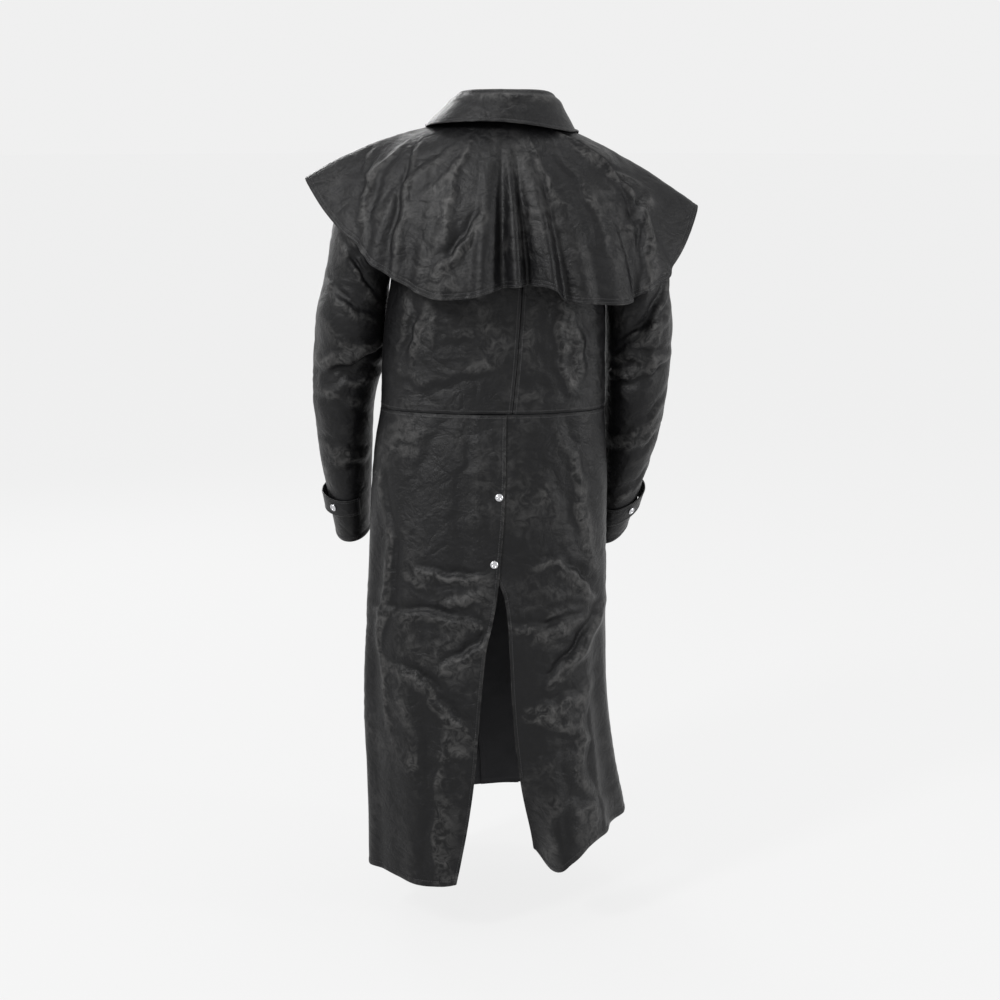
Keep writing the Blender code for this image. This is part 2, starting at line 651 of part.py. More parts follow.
def collar_point(degrees, row):
    """A point of the collar's fall, which comes to rest on the cape at the sides."""
    turn = abs(degrees)
    side_share = smooth(turn / 80.0) * (1 - smooth((turn - 95.0) / 60.0))
    point_share = smooth((turn - 80.0) / 75.0)
    out = row.out + row.side_out * side_share + row.point_out * point_share
    up = row.up + row.side_up * side_share + row.point_up * point_share
    high = smooth((row.up + 0.002) / 0.05)
    if degrees > 0:
        out -= COLLAR_LEFT_IN * high * side_share
    up += COLLAR_LEAN * math.sin(math.radians(degrees)) * (1 - high)
    if out > 0.004:
        up = max(up, cape_rise(degrees, out) + COLLAR_CLEARANCE * (1 + point_share))
    return neck_point(degrees, out, up)


def collar_fall(material):
    rows = []
    for row in COLLAR_ROWS:
        rows.append([collar_point(mix(-COLLAR_END_ANGLE, COLLAR_END_ANGLE, t), row) for t in steps(30)])
    return sheet("collar_fall", rows, material)


def collar_stand(material):
    """The upright band inside the fall, from the neck seam to just under the fold."""
    fold = COLLAR_ROWS[0]
    head = fold._replace(out=fold.out + STAND_SET_OUT, up=fold.up - STAND_SET_DOWN)
    rows = []
    for t in steps(2):
        row = []
        for s in steps(30):
            degrees = mix(-COLLAR_END_ANGLE, COLLAR_END_ANGLE, s)
            foot = neck_point(degrees, STAND_OUT, STAND_RISE)
            row.append(foot.lerp(collar_point(degrees, head), t))
        rows.append(row)
    return sheet("collar_stand", rows, material, flip=True)


def snap(name, centre, normal, material):
    """A ring-topped snap cap, turned about its own axis and set on the cloth."""
    profile = (
        (0.0, 0.0),
        (SNAP_RADIUS, 0.0),
        (SNAP_RADIUS, 0.35 * SNAP_HEIGHT),
        (0.80 * SNAP_RADIUS, 0.90 * SNAP_HEIGHT),
        (0.60 * SNAP_RADIUS, SNAP_HEIGHT),
        (0.42 * SNAP_RADIUS, 0.70 * SNAP_HEIGHT),
        (0.0, 0.62 * SNAP_HEIGHT),
    )
    mesh = bpy.data.meshes.new(name)
    shape = bmesh.new()
    verts = [shape.verts.new((r, 0.0, h)) for r, h in profile]
    edges = [shape.edges.new(pair) for pair in zip(verts, verts[1:])]
    bmesh.ops.spin(shape, geom=verts + edges, cent=(0, 0, 0), axis=(0, 0, 1),
                   angle=2 * math.pi, steps=12, use_merge=True)
    bmesh.ops.remove_doubles(shape, verts=shape.verts, dist=0.00001)
    bmesh.ops.recalc_face_normals(shape, faces=shape.faces)
    shape.to_mesh(mesh)
    shape.free()
    mesh.materials.append(material)
    mesh.shade_smooth()
    cap = bpy.data.objects.new(name, mesh)
    bpy.context.scene.collection.objects.link(cap)
    cap.location = centre + normal * SEAM_GAP
    cap.rotation_mode = "QUATERNION"
    cap.rotation_quaternion = normal.to_track_quat("Z", "Y")
    return cap


def seat(panel, start, way):
    """Where a ray meets a panel, with the panel's outward normal there."""
    frame = panel.matrix_world.inverted()
    hit, spot, normal, _ = panel.ray_cast(frame @ start, way)
    if not hit:
        raise ValueError(f"nothing to sit on at {tuple(start)}")
    return spot, normal


def seated_snap(name, panel, start, way, material):
    """A snap that rests on the highest point of the cloth under its rim."""
    spot, _ = seat(panel, start, way)
    side = way.orthogonal().normalized()
    other = way.cross(side)
    rim = []
    for n in range(8):
        a = n * math.pi / 4
        offset = (side * math.cos(a) + other * math.sin(a)) * SNAP_RADIUS
        rim.append(seat(panel, start + offset, way)[0])
    normal = (rim[2] - rim[6]).cross(rim[4] - rim[0]).normalized()
    if normal.dot(way) > 0:
        normal = -normal
    rise = max((point - spot).dot(normal) for point in rim + [spot])
    return snap(name, spot + normal * rise, normal, material)


def vent_snap(number, x, z, panel, material):
    """A snap on the left panel's edge of the back vent."""
    return seated_snap(f"snap_vent_{number}", panel, Vector((x, 0.5, z)), Vector((0, -1, 0)), material)


def front_snap(number, z, panel, material):
    """A snap down the front lap."""
    x = body_point(min(z, UNDERARM_Z), math.pi).x - FRONT_SNAP_IN
    return seated_snap(f"snap_front_{number}", panel, Vector((x, -0.5, z)), Vector((0, 1, 0)), material)


def cuff_snap(side, tab, material):
    """The snap on the cuff strap, at the back of the sleeve's outer side."""
    centre = sleeve_point(side, CUFF_TAB_ALONG[side], CUFF_SNAP_ANGLE)
    middle = sleeve_point(side, CUFF_TAB_ALONG[side], 0.0)
    middle = (middle + sleeve_point(side, CUFF_TAB_ALONG[side], 180.0)) / 2
    out = (centre - middle).normalized()
    name = "snap_cuff_left" if side > 0 else "snap_cuff_right"
    return seated_snap(name, tab, centre + out * 0.05, -out, material)


def finish(name, colour, roughness, metallic):
    """A material with the part's colour, roughness and metallic value."""
    material = bpy.data.materials.new(name)
    material.use_nodes = True
    shader = material.node_tree.nodes["Principled BSDF"]
    shader.inputs["Base Color"].default_value = (*colour, 1.0)
    shader.inputs["Roughness"].default_value = roughness
    shader.inputs["Metallic"].default_value = metallic
    return material


def main():
    for old in list(bpy.data.objects):
        bpy.data.objects.remove(old)
    leather = finish("black_leather", BLACK_LEATHER, 0.45, 0.0)
    nickel = finish("nickel", NICKEL, 0.28, 1.0)
    for side in (1, -1):
        back_upper(side, leather)
        sleeve(side, leather)
    skirts = [back_skirt(side, leather) for side in (1, -1)]
    fronts = [front(side, leather) for side in (1, -1)]
    tabs = [cuff_tab(side, leather) for side in (1, -1)]
    cape(leather)
    collar_stand(leather)
    collar_fall(leather)
    bpy.context.view_layer.update()
    for side, tab in zip((1, -1), tabs):
        cuff_snap(side, tab, nickel)
    for number, (x, z) in enumerate(VENT_SNAPS, 1):
        vent_snap(number, x, z, skirts[0], nickel)
    for number, z in enumerate(FRONT_SNAP_HEIGHTS, 1):
        front_snap(number, z, fronts[0], nickel)


main()
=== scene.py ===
"""A long black leather duster coat with a shoulder cape, filled out as worn.

Metres, +Z up. The origin is the middle of the neck, level with the wearer's
shoulders. The front faces -Y, the back +Y, and the wearer's left is +X.
"""

import math
from bisect import bisect_left
from collections import namedtuple

import bmesh
import bpy
import numpy as np
from bpy.props import FloatProperty, FloatVectorProperty, PointerProperty
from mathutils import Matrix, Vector, noise
from mathutils.bvhtree import BVHTree


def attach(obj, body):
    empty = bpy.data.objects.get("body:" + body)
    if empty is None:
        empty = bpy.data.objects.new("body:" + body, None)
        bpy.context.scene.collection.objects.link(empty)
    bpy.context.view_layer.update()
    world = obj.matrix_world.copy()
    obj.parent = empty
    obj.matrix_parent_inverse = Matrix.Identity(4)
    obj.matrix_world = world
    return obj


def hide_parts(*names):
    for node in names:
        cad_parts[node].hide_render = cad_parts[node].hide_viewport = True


bl_info = {
    "name": "Leather Duster Coat",
    "version": (1, 0, 0),
    "blender": (4, 5, 0),
    "location": "View3D > Sidebar > Coat",
    "description": "Builds a leather duster coat with a shoulder cape",
    "category": "Add Mesh",
}

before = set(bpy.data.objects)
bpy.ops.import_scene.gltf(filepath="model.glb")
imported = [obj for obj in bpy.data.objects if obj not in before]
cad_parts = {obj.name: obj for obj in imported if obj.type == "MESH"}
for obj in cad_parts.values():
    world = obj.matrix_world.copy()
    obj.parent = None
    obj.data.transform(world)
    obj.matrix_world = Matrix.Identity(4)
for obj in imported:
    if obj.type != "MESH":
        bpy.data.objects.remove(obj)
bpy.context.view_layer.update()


def table(kind, *rows):
    """Rows of numbers as a tuple of one named kind."""
    return tuple(kind(*row) for row in rows)


# Sizes and tables shared by every panel; angles of gaps are in radians
WALL = 0.002
SEAM_GAP = 0.0003
LAP_LIFT = 0.0034
WAIST_Z = -0.452
UNDERARM_Z = -0.250
HEM_LEVEL = -1.190
SIDE_ANGLE = math.radians(90.0)
SIDE_GAP_ANGLE = SEAM_GAP / 1.5
SKIRT_GAP_ANGLE = SEAM_GAP / 2.0
BACK_POWER = 2.3
FRONT_POWER = 2.0
CUFF_TAB_WIDTH = 0.030
CUFF_TAB_ALONG = {1: 0.885, -1: 0.915}
CUFF_TAB_LIFT = 0.0027
CUFF_TAB_SLACK = 0.0068
CUFF_TAB_SLACK_ANGLE = 8.0
CUFF_TAB_BACK_END = 120
CUFF_TAB_FRONT_END = -70
SLEEVE_LENGTH = 0.60
SNAP_RADIUS = 0.0064
SNAP_HEIGHT = 0.0030
FRONT_LAP = 0.034
FRONT_SNAP_IN = 0.012
CUFF_SNAP_ANGLE = 48.0
FRONT_SNAP_HEIGHTS = (-0.145, -0.275, -0.405, -0.535, -0.665)
LAP_RAMP = 0.020
VENT_LAP = 0.055
CURL_REACH = 0.055
VENT_CLOSING = 0.16
FRONT_LAP_REACH = 0.070
FOLD_GROWTH = 0.50
CAPE_END_ANGLE = 164.0

# The body's rings: left and right are X at the widest place, back and front are Y
# at the middle, wide_left and wide_right are the Y of the widest place on each side
Ring = namedtuple("Ring", "z left right back front wide_left wide_right")
BODY = table(
    Ring,
    (-1.250, 0.216, -0.212, 0.222, -0.190, 0.085, -0.020),
    (-1.140, 0.215, -0.204, 0.220, -0.186, 0.080, -0.005),
    (-1.040, 0.218, -0.187, 0.216, -0.180, 0.070, 0.020),
    (-0.900, 0.222, -0.173, 0.206, -0.168, 0.060, 0.045),
    (-0.700, 0.219, -0.170, 0.188, -0.148, 0.052, 0.052),
    (-0.560, 0.211, -0.170, 0.168, -0.132, 0.045, 0.050),
    (-0.500, 0.204, -0.168, 0.157, -0.127, 0.045, 0.046),
    (WAIST_Z, 0.196, -0.166, 0.148, -0.124, 0.045, 0.045),
    (-0.360, 0.192, -0.166, 0.140, -0.130, 0.042, 0.042),
    (-0.300, 0.186, -0.166, 0.139, -0.133, 0.030, 0.030),
    (UNDERARM_Z, 0.179, -0.164, 0.138, -0.136, 0.004, 0.004),
)
# Where the middle seam of the upper back runs
SeamPoint = namedtuple("SeamPoint", "z x")
BACK_SEAM = (SeamPoint(WAIST_Z, -0.016), SeamPoint(-0.370, -0.024), SeamPoint(UNDERARM_Z, -0.032))

# Height of the hem round the body, by angle from the middle of the back
HemPoint = namedtuple("HemPoint", "angle z")
HEM = table(
    HemPoint,
    (-190.0, -1.186),
    (-180.0, -1.184),
    (-140.0, -1.172),
    (-100.0, -1.150),
    (-70.0, -1.152),
    (-45.0, -1.158),
    (-30.0, -1.180),
    (-20.0, -1.202),
    (-10.0, -1.168),
    (20.0, -1.212),
    (60.0, -1.208),
    (100.0, -1.210),
    (150.0, -1.190),
    (190.0, -1.184),
)

# The two edges of the back vent: the left panel lies over the right one
VentRow = namedtuple("VentRow", "z left_edge right_edge curl")
VENT = table(
    VentRow,
    (-1.250, 0.088, -0.060, 0.085),
    (-1.160, 0.067, -0.048, 0.060),
    (-1.040, 0.0450, -0.028, 0.026),
    (-0.930, 0.0350, -0.017, 0.008),
    (-0.830, 0.025, -0.0115, 0.0),
    (-0.780, 0.014, -0.008, 0.0),
    (-0.738, 0.007, -0.001, 0.0),
    (-0.690, 0.0025, 0.017, 0.0),
    (-0.600, -0.0040, 0.028, 0.0),
    (WAIST_Z, -0.0070, 0.030, 0.0),
)
VENT_CLOSED_Z = -0.70
VENT_SNAPS = ((0.0047, -0.5790), (0.0123, -0.6840))

# Soft vertical folds in the skirt: angle and width in degrees, how far the cloth
# is pushed out (or in) at the hem, and the height at which the fold dies out
Fold = namedtuple("Fold", "angle width push top drift")
SKIRT_FOLDS = table(
    Fold,
    (70.0, 13.0, 0.010, -0.52, 6.0),
    (86.0, 9.0, -0.011, -0.55, 4.0),
    (103.0, 11.0, 0.010, -0.60, 2.0),
    (38.0, 16.0, 0.006, -0.70, -4.0),
    (-34.0, 14.0, 0.007, -0.80, 3.0),
    (-62.0, 13.0, -0.010, -0.58, -5.0),
    (-80.0, 10.0, 0.011, -0.90, -3.0),
    (-98.0, 10.0, 0.016, -0.98, 2.0),
    (-118.0, 12.0, -0.008, -0.70, 2.0),
    (128.0, 13.0, -0.009, -0.66, -2.0),
    (150.0, 12.0, 0.008, -0.72, 2.0),
    (-146.0, 13.0, 0.009, -0.70, -2.0),
)

# Neck, shoulder and armhole
NECK_HALF_WIDTH = 0.078
NECK_BACK = 0.070
NECK_FRONT = 0.080
NECK_Y = 0.008
NECK_DROP = -0.074
NECK_POINT_ANGLE = 78.0
NECK_SEAM_ANGLE = -9.0
Shoulder = namedtuple("Shoulder", "x y z")
SHOULDER_TIP = {1: Shoulder(0.210, 0.004, -0.070), -1: Shoulder(-0.206, 0.004, -0.096)}
ARMHOLE_HALF_DEPTH = 0.080
ARMHOLE_WAIST_IN = 0.014
ARMHOLE_SEAM = 0.0010
NECK_SHARE = 0.42
# How far the fronts lap past the middle, as a share of the way to the armhole
FRONT_PAST_MIDDLE = -0.11

# The sleeves' rings, from the armhole to the cuff: the outer and the inner edge seen
# from behind, the Y of the middle and the half depth along Y
Section = namedtuple("Section", "outer_x outer_z inner_x inner_z y deep")
SLEEVES = {
    1: table(
        Section,
        (0.2100, -0.070, 0.1790, -0.250, 0.004, 0.0800),
        (0.2560, -0.115, 0.1828, -0.262, 0.002, 0.0800),
        (0.2760, -0.190, 0.1845, -0.286, 0.000, 0.0810),
        (0.2925, -0.280, 0.1880, -0.330, 0.000, 0.0810),
        (0.3055, -0.370, 0.1935, -0.382, -0.006, 0.0750),
        (0.3085, -0.450, 0.2100, -0.452, -0.018, 0.0650),
        (0.3045, -0.535, 0.2170, -0.530, -0.038, 0.0600),
        (0.2930, -0.620, 0.2210, -0.612, -0.062, 0.0550),
        (0.2820, -0.690, 0.2230, -0.680, -0.082, 0.0500),
    ),
    -1: table(
        Section,
        (-0.2060, -0.096, -0.1640, -0.250, 0.004, 0.0800),
        (-0.2470, -0.135, -0.1675, -0.264, 0.004, 0.0780),
        (-0.2630, -0.205, -0.1675, -0.290, 0.002, 0.0760),
        (-0.2730, -0.290, -0.1675, -0.335, -0.001, 0.0735),
        (-0.2760, -0.370, -0.1675, -0.385, -0.006, 0.0700),
        (-0.2710, -0.440, -0.1670, -0.448, -0.014, 0.0660),
        (-0.2590, -0.520, -0.1660, -0.528, -0.040, 0.0610),
        (-0.2370, -0.604, -0.1600, -0.616, -0.076, 0.0550),
        (-0.2180, -0.678, -0.1520, -0.698, -0.114, 0.0500),
    ),
}
KeyedSection = namedtuple("KeyedSection", ("at",) + Section._fields)
# Large bends and bulges of the sleeves: share of the length, angle round the tube
# (0 outer, 90 back, 180 inner) and the push outwards
Bulge = namedtuple("Bulge", "along angle length width push")
SLEEVE_BULGES = {
    1: table(
        Bulge,
        (0.30, 70.0, 0.055, 80.0, -0.004),
        (0.40, 60.0, 0.075, 90.0, 0.007),
        (0.515, 110.0, 0.045, 80.0, -0.007),
        (0.62, 50.0, 0.08, 90.0, 0.003),
        (0.46, -90.0, 0.06, 80.0, 0.005),
        (0.55, -90.0, 0.04, 80.0, -0.006),
    ),
    -1: table(
        Bulge,
        (0.26, 100.0, 0.05, 70.0, -0.006),
        (0.42, 60.0, 0.08, 90.0, 0.006),
        (0.50, 120.0, 0.045, 70.0, -0.006),
        (0.60, 80.0, 0.07, 80.0, 0.004),
        (0.55, -90.0, 0.05, 80.0, -0.006),
        (0.44, -90.0, 0.06, 80.0, 0.005),
    ),
}

# The cape: for each angle round the neck, its hem and the point that its fall bends round
CapeRib = namedtuple("CapeRib", "angle hem_x hem_y hem_z bend_x bend_y bend_z")
CAPE = table(
    CapeRib,
    (-164.0, -0.050, -0.176, -0.215, -0.040, -0.135, -0.110),
    (-152.0, -0.085, -0.178, -0.245, -0.075, -0.140, -0.090),
    (-136.0, -0.150, -0.165, -0.262, -0.125, -0.120, -0.070),
    (-118.0, -0.222, -0.120, -0.245, -0.175, -0.078, -0.058),
    (-104.0, -0.286, -0.058, -0.190, -0.195, -0.036, -0.059),
    (-91.0, -0.315, -0.004, -0.136, -0.207, 0.004, -0.056),
    (-78.0, -0.296, 0.044, -0.186, -0.205, 0.040, -0.054),
    (-63.0, -0.260, 0.094, -0.236, -0.190, 0.080, -0.058),
    (-45.0, -0.205, 0.148, -0.275, -0.150, 0.118, -0.060),
    (-28.0, -0.134, 0.175, -0.276, -0.095, 0.145, -0.062),
    (-20.5, -0.100, 0.182, -0.270, -0.070, 0.152, -0.062),
    (-15.0, -0.076, 0.187, -0.253, -0.055, 0.157, -0.062),
    (-11.0, -0.060, 0.189, -0.248, -0.042, 0.159, -0.062),
    (0.0, -0.010, 0.192, -0.250, -0.004, 0.162, -0.062),
    (13.0, 0.050, 0.190, -0.266, 0.040, 0.158, -0.060),
    (30.0, 0.108, 0.176, -0.267, 0.092, 0.144, -0.052),
    (47.0, 0.165, 0.150, -0.243, 0.140, 0.112, -0.040),
    (63.0, 0.222, 0.112, -0.200, 0.180, 0.076, -0.032),
    (77.0, 0.281, 0.054, -0.142, 0.200, 0.040, -0.031),
    (89.0, 0.316, 0.000, -0.092, 0.206, 0.004, -0.024),
    (103.0, 0.276, -0.058, -0.142, 0.200, -0.036, -0.033),
    (118.0, 0.220, -0.118, -0.205, 0.178, -0.078, -0.040),
    (136.0, 0.150, -0.163, -0.250, 0.125, -0.120, -0.062),
    (152.0, 0.086, -0.178, -0.245, 0.075, -0.140, -0.088),
    (164.0, 0.050, -0.176, -0.215, 0.040, -0.135, -0.108),
)
# Flutes of the cape: angle and width in degrees, push at the hem, where they start
# down the cape (0 neck, 1 hem), and how far they lean towards the hem
Flute = namedtuple("Flute", "angle width push start lean")
CAPE_FLUTES = table(
    Flute,
    (8.0, 5.0, 0.010, 0.15, 1.0),
    (1.5, 3.8, -0.020, 0.12, 0.5),
    (-2.8, 3.0, 0.008, 0.15, 0.0),
    (-6.8, 3.6, -0.021, 0.12, -0.5),
    (-13.5, 4.8, 0.015, 0.12, -1.5),
    (-20.5, 3.6, -0.009, 0.20, -1.0),
    (-27.0, 5.0, 0.005, 0.30, -1.0),
    (-38.0, 8.0, 0.007, 0.35, 0.0),
    (-51.0, 4.6, -0.013, 0.45, 2.0),
    (-61.0, 6.0, 0.010, 0.40, 0.0),
    (27.0, 8.0, 0.006, 0.40, 0.0),
    (40.0, 6.0, -0.006, 0.45, 3.0),
    (54.0, 5.0, 0.007, 0.45, 3.0),
    (64.0, 4.0, -0.006, 0.55, 2.0),
    (112.0, 7.0, -0.008, 0.40, 0.0),
    (128.0, 8.0, 0.009, 0.35, 0.0),
    (144.0, 6.0, -0.006, 0.45, 0.0),
    (-114.0, 7.0, -0.008, 0.40, 0.0),
    (-130.0, 8.0, 0.009, 0.35, 0.0),
    (-146.0, 6.0, -0.006, 0.45, 0.0),
)

# The collar's fall, from its fold to its lower edge: distance out from the neck seam
# and height over it at the back, and the extra reach at the sides and the front points
CollarRow = namedtuple("CollarRow", "out up side_out side_up point_out point_up")
COLLAR_ROWS = table(
    CollarRow,
    (-0.0040, 0.0455, 0.000, 0.000, 0.000, 0.000),
    (0.0010, 0.0464, 0.001, -0.001, 0.000, -0.001),
    (0.0070, 0.0430, 0.002, -0.003, 0.001, -0.004),
    (0.0150, 0.0300, 0.006, -0.006, 0.002, -0.014),
    (0.0240, 0.0150, 0.009, -0.009, 0.004, -0.026),
    (0.0330, -0.0020, 0.011, -0.010, 0.007, -0.040),
)
STAND_OUT = -0.0010
STAND_RISE = 0.0014
STAND_SET_OUT = 0.0026
STAND_SET_DOWN = 0.0030
COLLAR_END_ANGLE = 157.0
COLLAR_LEAN = 0.007
COLLAR_LEFT_IN = 0.010
COLLAR_CLEARANCE = 0.0046

SLEEVE_KEYS = {
    side: [KeyedSection(n, *row) for n, row in enumerate(rows)] for side, rows in SLEEVES.items()
}
# What read and cape_rise have worked out already
COLUMNS = {}
CAPE_PROFILES = {}

# Creases in the cloth. Those of the body run between two points seen from behind or
# from in front, X and Z; width is the half width of the fold and push its height,
# negative for a trough; skew turns a ridge into a ridge with a trough beside it.
Crease = namedtuple("Crease", "x0 z0 x1 z1 width push skew")
BACK_CREASES = table(
    Crease,
    (0.105, -0.748, 0.040, -0.735, 0.011, 0.0030, 0.5),
    (0.196, -0.764, 0.020, -0.780, 0.009, -0.0036, 0.9),
    (-0.008, -0.776, -0.125, -0.768, 0.009, -0.0034, 0.9),
    (-0.060, -0.764, -0.125, -0.757, 0.008, -0.0020, 0.7),
    (0.125, -0.689, 0.040, -0.697, 0.008, -0.0036, 0.9),
    (-0.052, -0.682, -0.092, -0.676, 0.007, -0.0022, 0.8),
    (0.090, -0.836, 0.022, -0.790, 0.009, -0.0044, 0.9),
    (0.165, -0.852, 0.108, -0.880, 0.010, -0.0040, 0.9),
    (0.108, -0.880, 0.040, -0.950, 0.010, -0.0036, 0.9),
    (-0.100, -0.684, -0.150, -0.742, 0.009, -0.0046, 0.9),
    (-0.070, -0.868, -0.152, -0.770, 0.010, -0.0056, 0.9),
    (-0.040, -0.800, -0.110, -0.785, 0.009, -0.0024, 0.6),
    (-0.050, -0.905, -0.142, -0.880, 0.014, -0.0030, 0.6),
    (-0.060, -0.940, -0.155, -1.000, 0.013, 0.0026, 0.5),
    (-0.150, -0.900, -0.170, -1.120, 0.014, -0.0040, 0.5),
    (0.186, -0.560, 0.190, -0.830, 0.008, -0.0024, 0.6),
    (0.170, -0.640, 0.176, -0.980, 0.010, 0.0022, 0.3),
    (0.140, -0.900, 0.130, -1.190, 0.016, -0.0026, 0.4),
    (0.085, -0.960, 0.098, -1.200, 0.016, 0.0024, 0.3),
    (-0.088, -0.960, -0.094, -1.180, 0.015, -0.0024, 0.3),
    (0.095, -0.470, 0.140, -0.590, 0.014, -0.0016, 0.4),
    (-0.100, -0.470, -0.146, -0.600, 0.013, -0.0028, 0.6),
    (-0.125, -0.500, -0.150, -0.700, 0.012, 0.0026, 0.3),
    (-0.060, -0.520, -0.110, -0.640, 0.014, -0.0014, 0.4),
    (0.050, -0.500, 0.064, -0.660, 0.014, -0.0012, 0.4),
    (0.110, -0.738, 0.160, -0.715, 0.008, -0.0016, 0.6),
    (0.055, -1.000, 0.130, -1.030, 0.013, -0.0018, 0.5),
    (-0.040, -1.010, -0.100, -0.990, 0.012, -0.0020, 0.5),
    (-0.100, -1.060, -0.175, -1.090, 0.014, -0.0028, 0.5),
    (0.140, -0.275, 0.158, -0.365, 0.007, -0.0030, 0.6),
    (0.118, -0.290, 0.142, -0.372, 0.008, 0.0026, 0.4),
    (0.098, -0.285, 0.104, -0.355, 0.008, -0.0018, 0.5),
    (-0.094, -0.285, -0.108, -0.425, 0.010, 0.0030, 0.4),
    (-0.118, -0.290, -0.135, -0.410, 0.011, -0.0030, 0.5),
    (-0.062, -0.300, -0.070, -0.400, 0.012, -0.0016, 0.4),
    (0.030, -0.330, 0.090, -0.345, 0.010, -0.0014, 0.5),
    (0.020, -0.395, 0.120, -0.425, 0.012, -0.0018, 0.5),
    (-0.040, -0.405, -0.125, -0.440, 0.012, -0.0020, 0.5),
    (0.110, -0.435, 0.170, -0.400, 0.010, -0.0020, 0.5),
)
FRONT_CREASES = table(
    Crease,
    (0.170, -0.440, 0.080, -0.470, 0.013, -0.0022, 0.6),
    (-0.150, -0.440, -0.060, -0.465, 0.012, -0.0022, 0.6),
    (0.120, -0.360, 0.050, -0.400, 0.012, -0.0020, 0.6),
    (-0.120, -0.370, -0.050, -0.410, 0.012, -0.0020, 0.6),
    (0.145, -0.285, 0.120, -0.390, 0.010, -0.0028, 0.6),
    (-0.140, -0.285, -0.112, -0.390, 0.010, -0.0028, 0.6),
    (0.150, -0.620, 0.050, -0.680, 0.014, -0.0026, 0.6),
    (-0.130, -0.640, -0.040, -0.690, 0.014, -0.0026, 0.6),
    (0.160, -0.760, 0.060, -0.770, 0.011, -0.0022, 0.7),
    (-0.140, -0.770, -0.050, -0.760, 0.011, -0.0022, 0.7),
    (0.080, -0.840, 0.170, -0.930, 0.014, -0.0030, 0.6),
    (-0.070, -0.850, -0.140, -0.950, 0.014, -0.0030, 0.6),
    (0.110, -0.900, 0.120, -1.170, 0.018, -0.0034, 0.3),
    (-0.095, -0.900, -0.110, -1.160, 0.018, -0.0034, 0.3),
    (0.060, -0.960, 0.064, -1.180, 0.016, 0.0028, 0.3),
    (-0.050, -0.980, -0.054, -1.170, 0.016, 0.0026, 0.3),
    (0.050, -1.030, 0.150, -1.010, 0.013, -0.0018, 0.5),
    (-0.050, -1.050, -0.130, -1.020, 0.013, -0.0018, 0.5),
)
# Creases of the sleeves, in share of the length and degrees round (0 outer, 90 back)
SleeveCrease = namedtuple("SleeveCrease", "along0 degrees0 along1 degrees1 width push skew")
SLEEVE_CREASES = {
    1: table(
        SleeveCrease,
        (0.320, 40.0, 0.335, 125.0, 0.008, -0.0040, 0.7),
        (0.455, 150.0, 0.535, 35.0, 0.011, -0.0060, 0.7),
        (0.400, 60.0, 0.430, 140.0, 0.009, -0.0022, 0.6),
        (0.560, 60.0, 0.520, 170.0, 0.010, -0.0034, 0.6),
        (0.640, 130.0, 0.600, 30.0, 0.010, -0.0030, 0.6),
        (0.700, 30.0, 0.740, 140.0, 0.009, -0.0024, 0.6),
        (0.780, 150.0, 0.800, 40.0, 0.010, -0.0024, 0.6),
        (0.200, 60.0, 0.260, 130.0, 0.010, -0.0030, 0.6),
        (0.140, 100.0, 0.230, 80.0, 0.010, -0.0030, 0.4),
        (0.480, -60.0, 0.500, -150.0, 0.011, -0.0050, 0.7),
        (0.530, -50.0, 0.550, -140.0, 0.011, -0.0044, 0.7),
        (0.580, -70.0, 0.600, -150.0, 0.010, -0.0036, 0.6),
        (0.320, -40.0, 0.280, -130.0, 0.011, -0.0034, 0.6),
        (0.720, -60.0, 0.700, -140.0, 0.010, -0.0026, 0.6),
        (0.400, 10.0, 0.620, 22.0, 0.009, 0.0022, 0.3),
    ),
    -1: table(
        SleeveCrease,
        (0.280, 20.0, 0.400, 120.0, 0.010, -0.0056, 0.8),
        (0.360, 30.0, 0.450, 130.0, 0.011, -0.0046, 0.7),
        (0.480, 20.0, 0.440, 120.0, 0.010, -0.0040, 0.7),
        (0.560, 140.0, 0.520, 40.0, 0.010, -0.0044, 0.7),
        (0.600, 30.0, 0.680, 120.0, 0.010, -0.0030, 0.6),
        (0.740, 120.0, 0.700, 20.0, 0.010, -0.0030, 0.6),
        (0.800, 20.0, 0.840, 130.0, 0.009, -0.0024, 0.6),
        (0.210, 60.0, 0.250, 140.0, 0.010, -0.0036, 0.6),
        (0.500, -60.0, 0.480, -150.0, 0.011, -0.0050, 0.7),
        (0.550, -50.0, 0.560, -140.0, 0.011, -0.0044, 0.7),
        (0.610, -60.0, 0.640, -150.0, 0.010, -0.0036, 0.6),
        (0.300, -50.0, 0.330, -140.0, 0.011, -0.0034, 0.6),
        (0.740, -60.0, 0.720, -140.0, 0.010, -0.0026, 0.6),
        (0.420, 60.0, 0.560, 66.0, 0.008, 0.0028, 0.3),
    ),
}
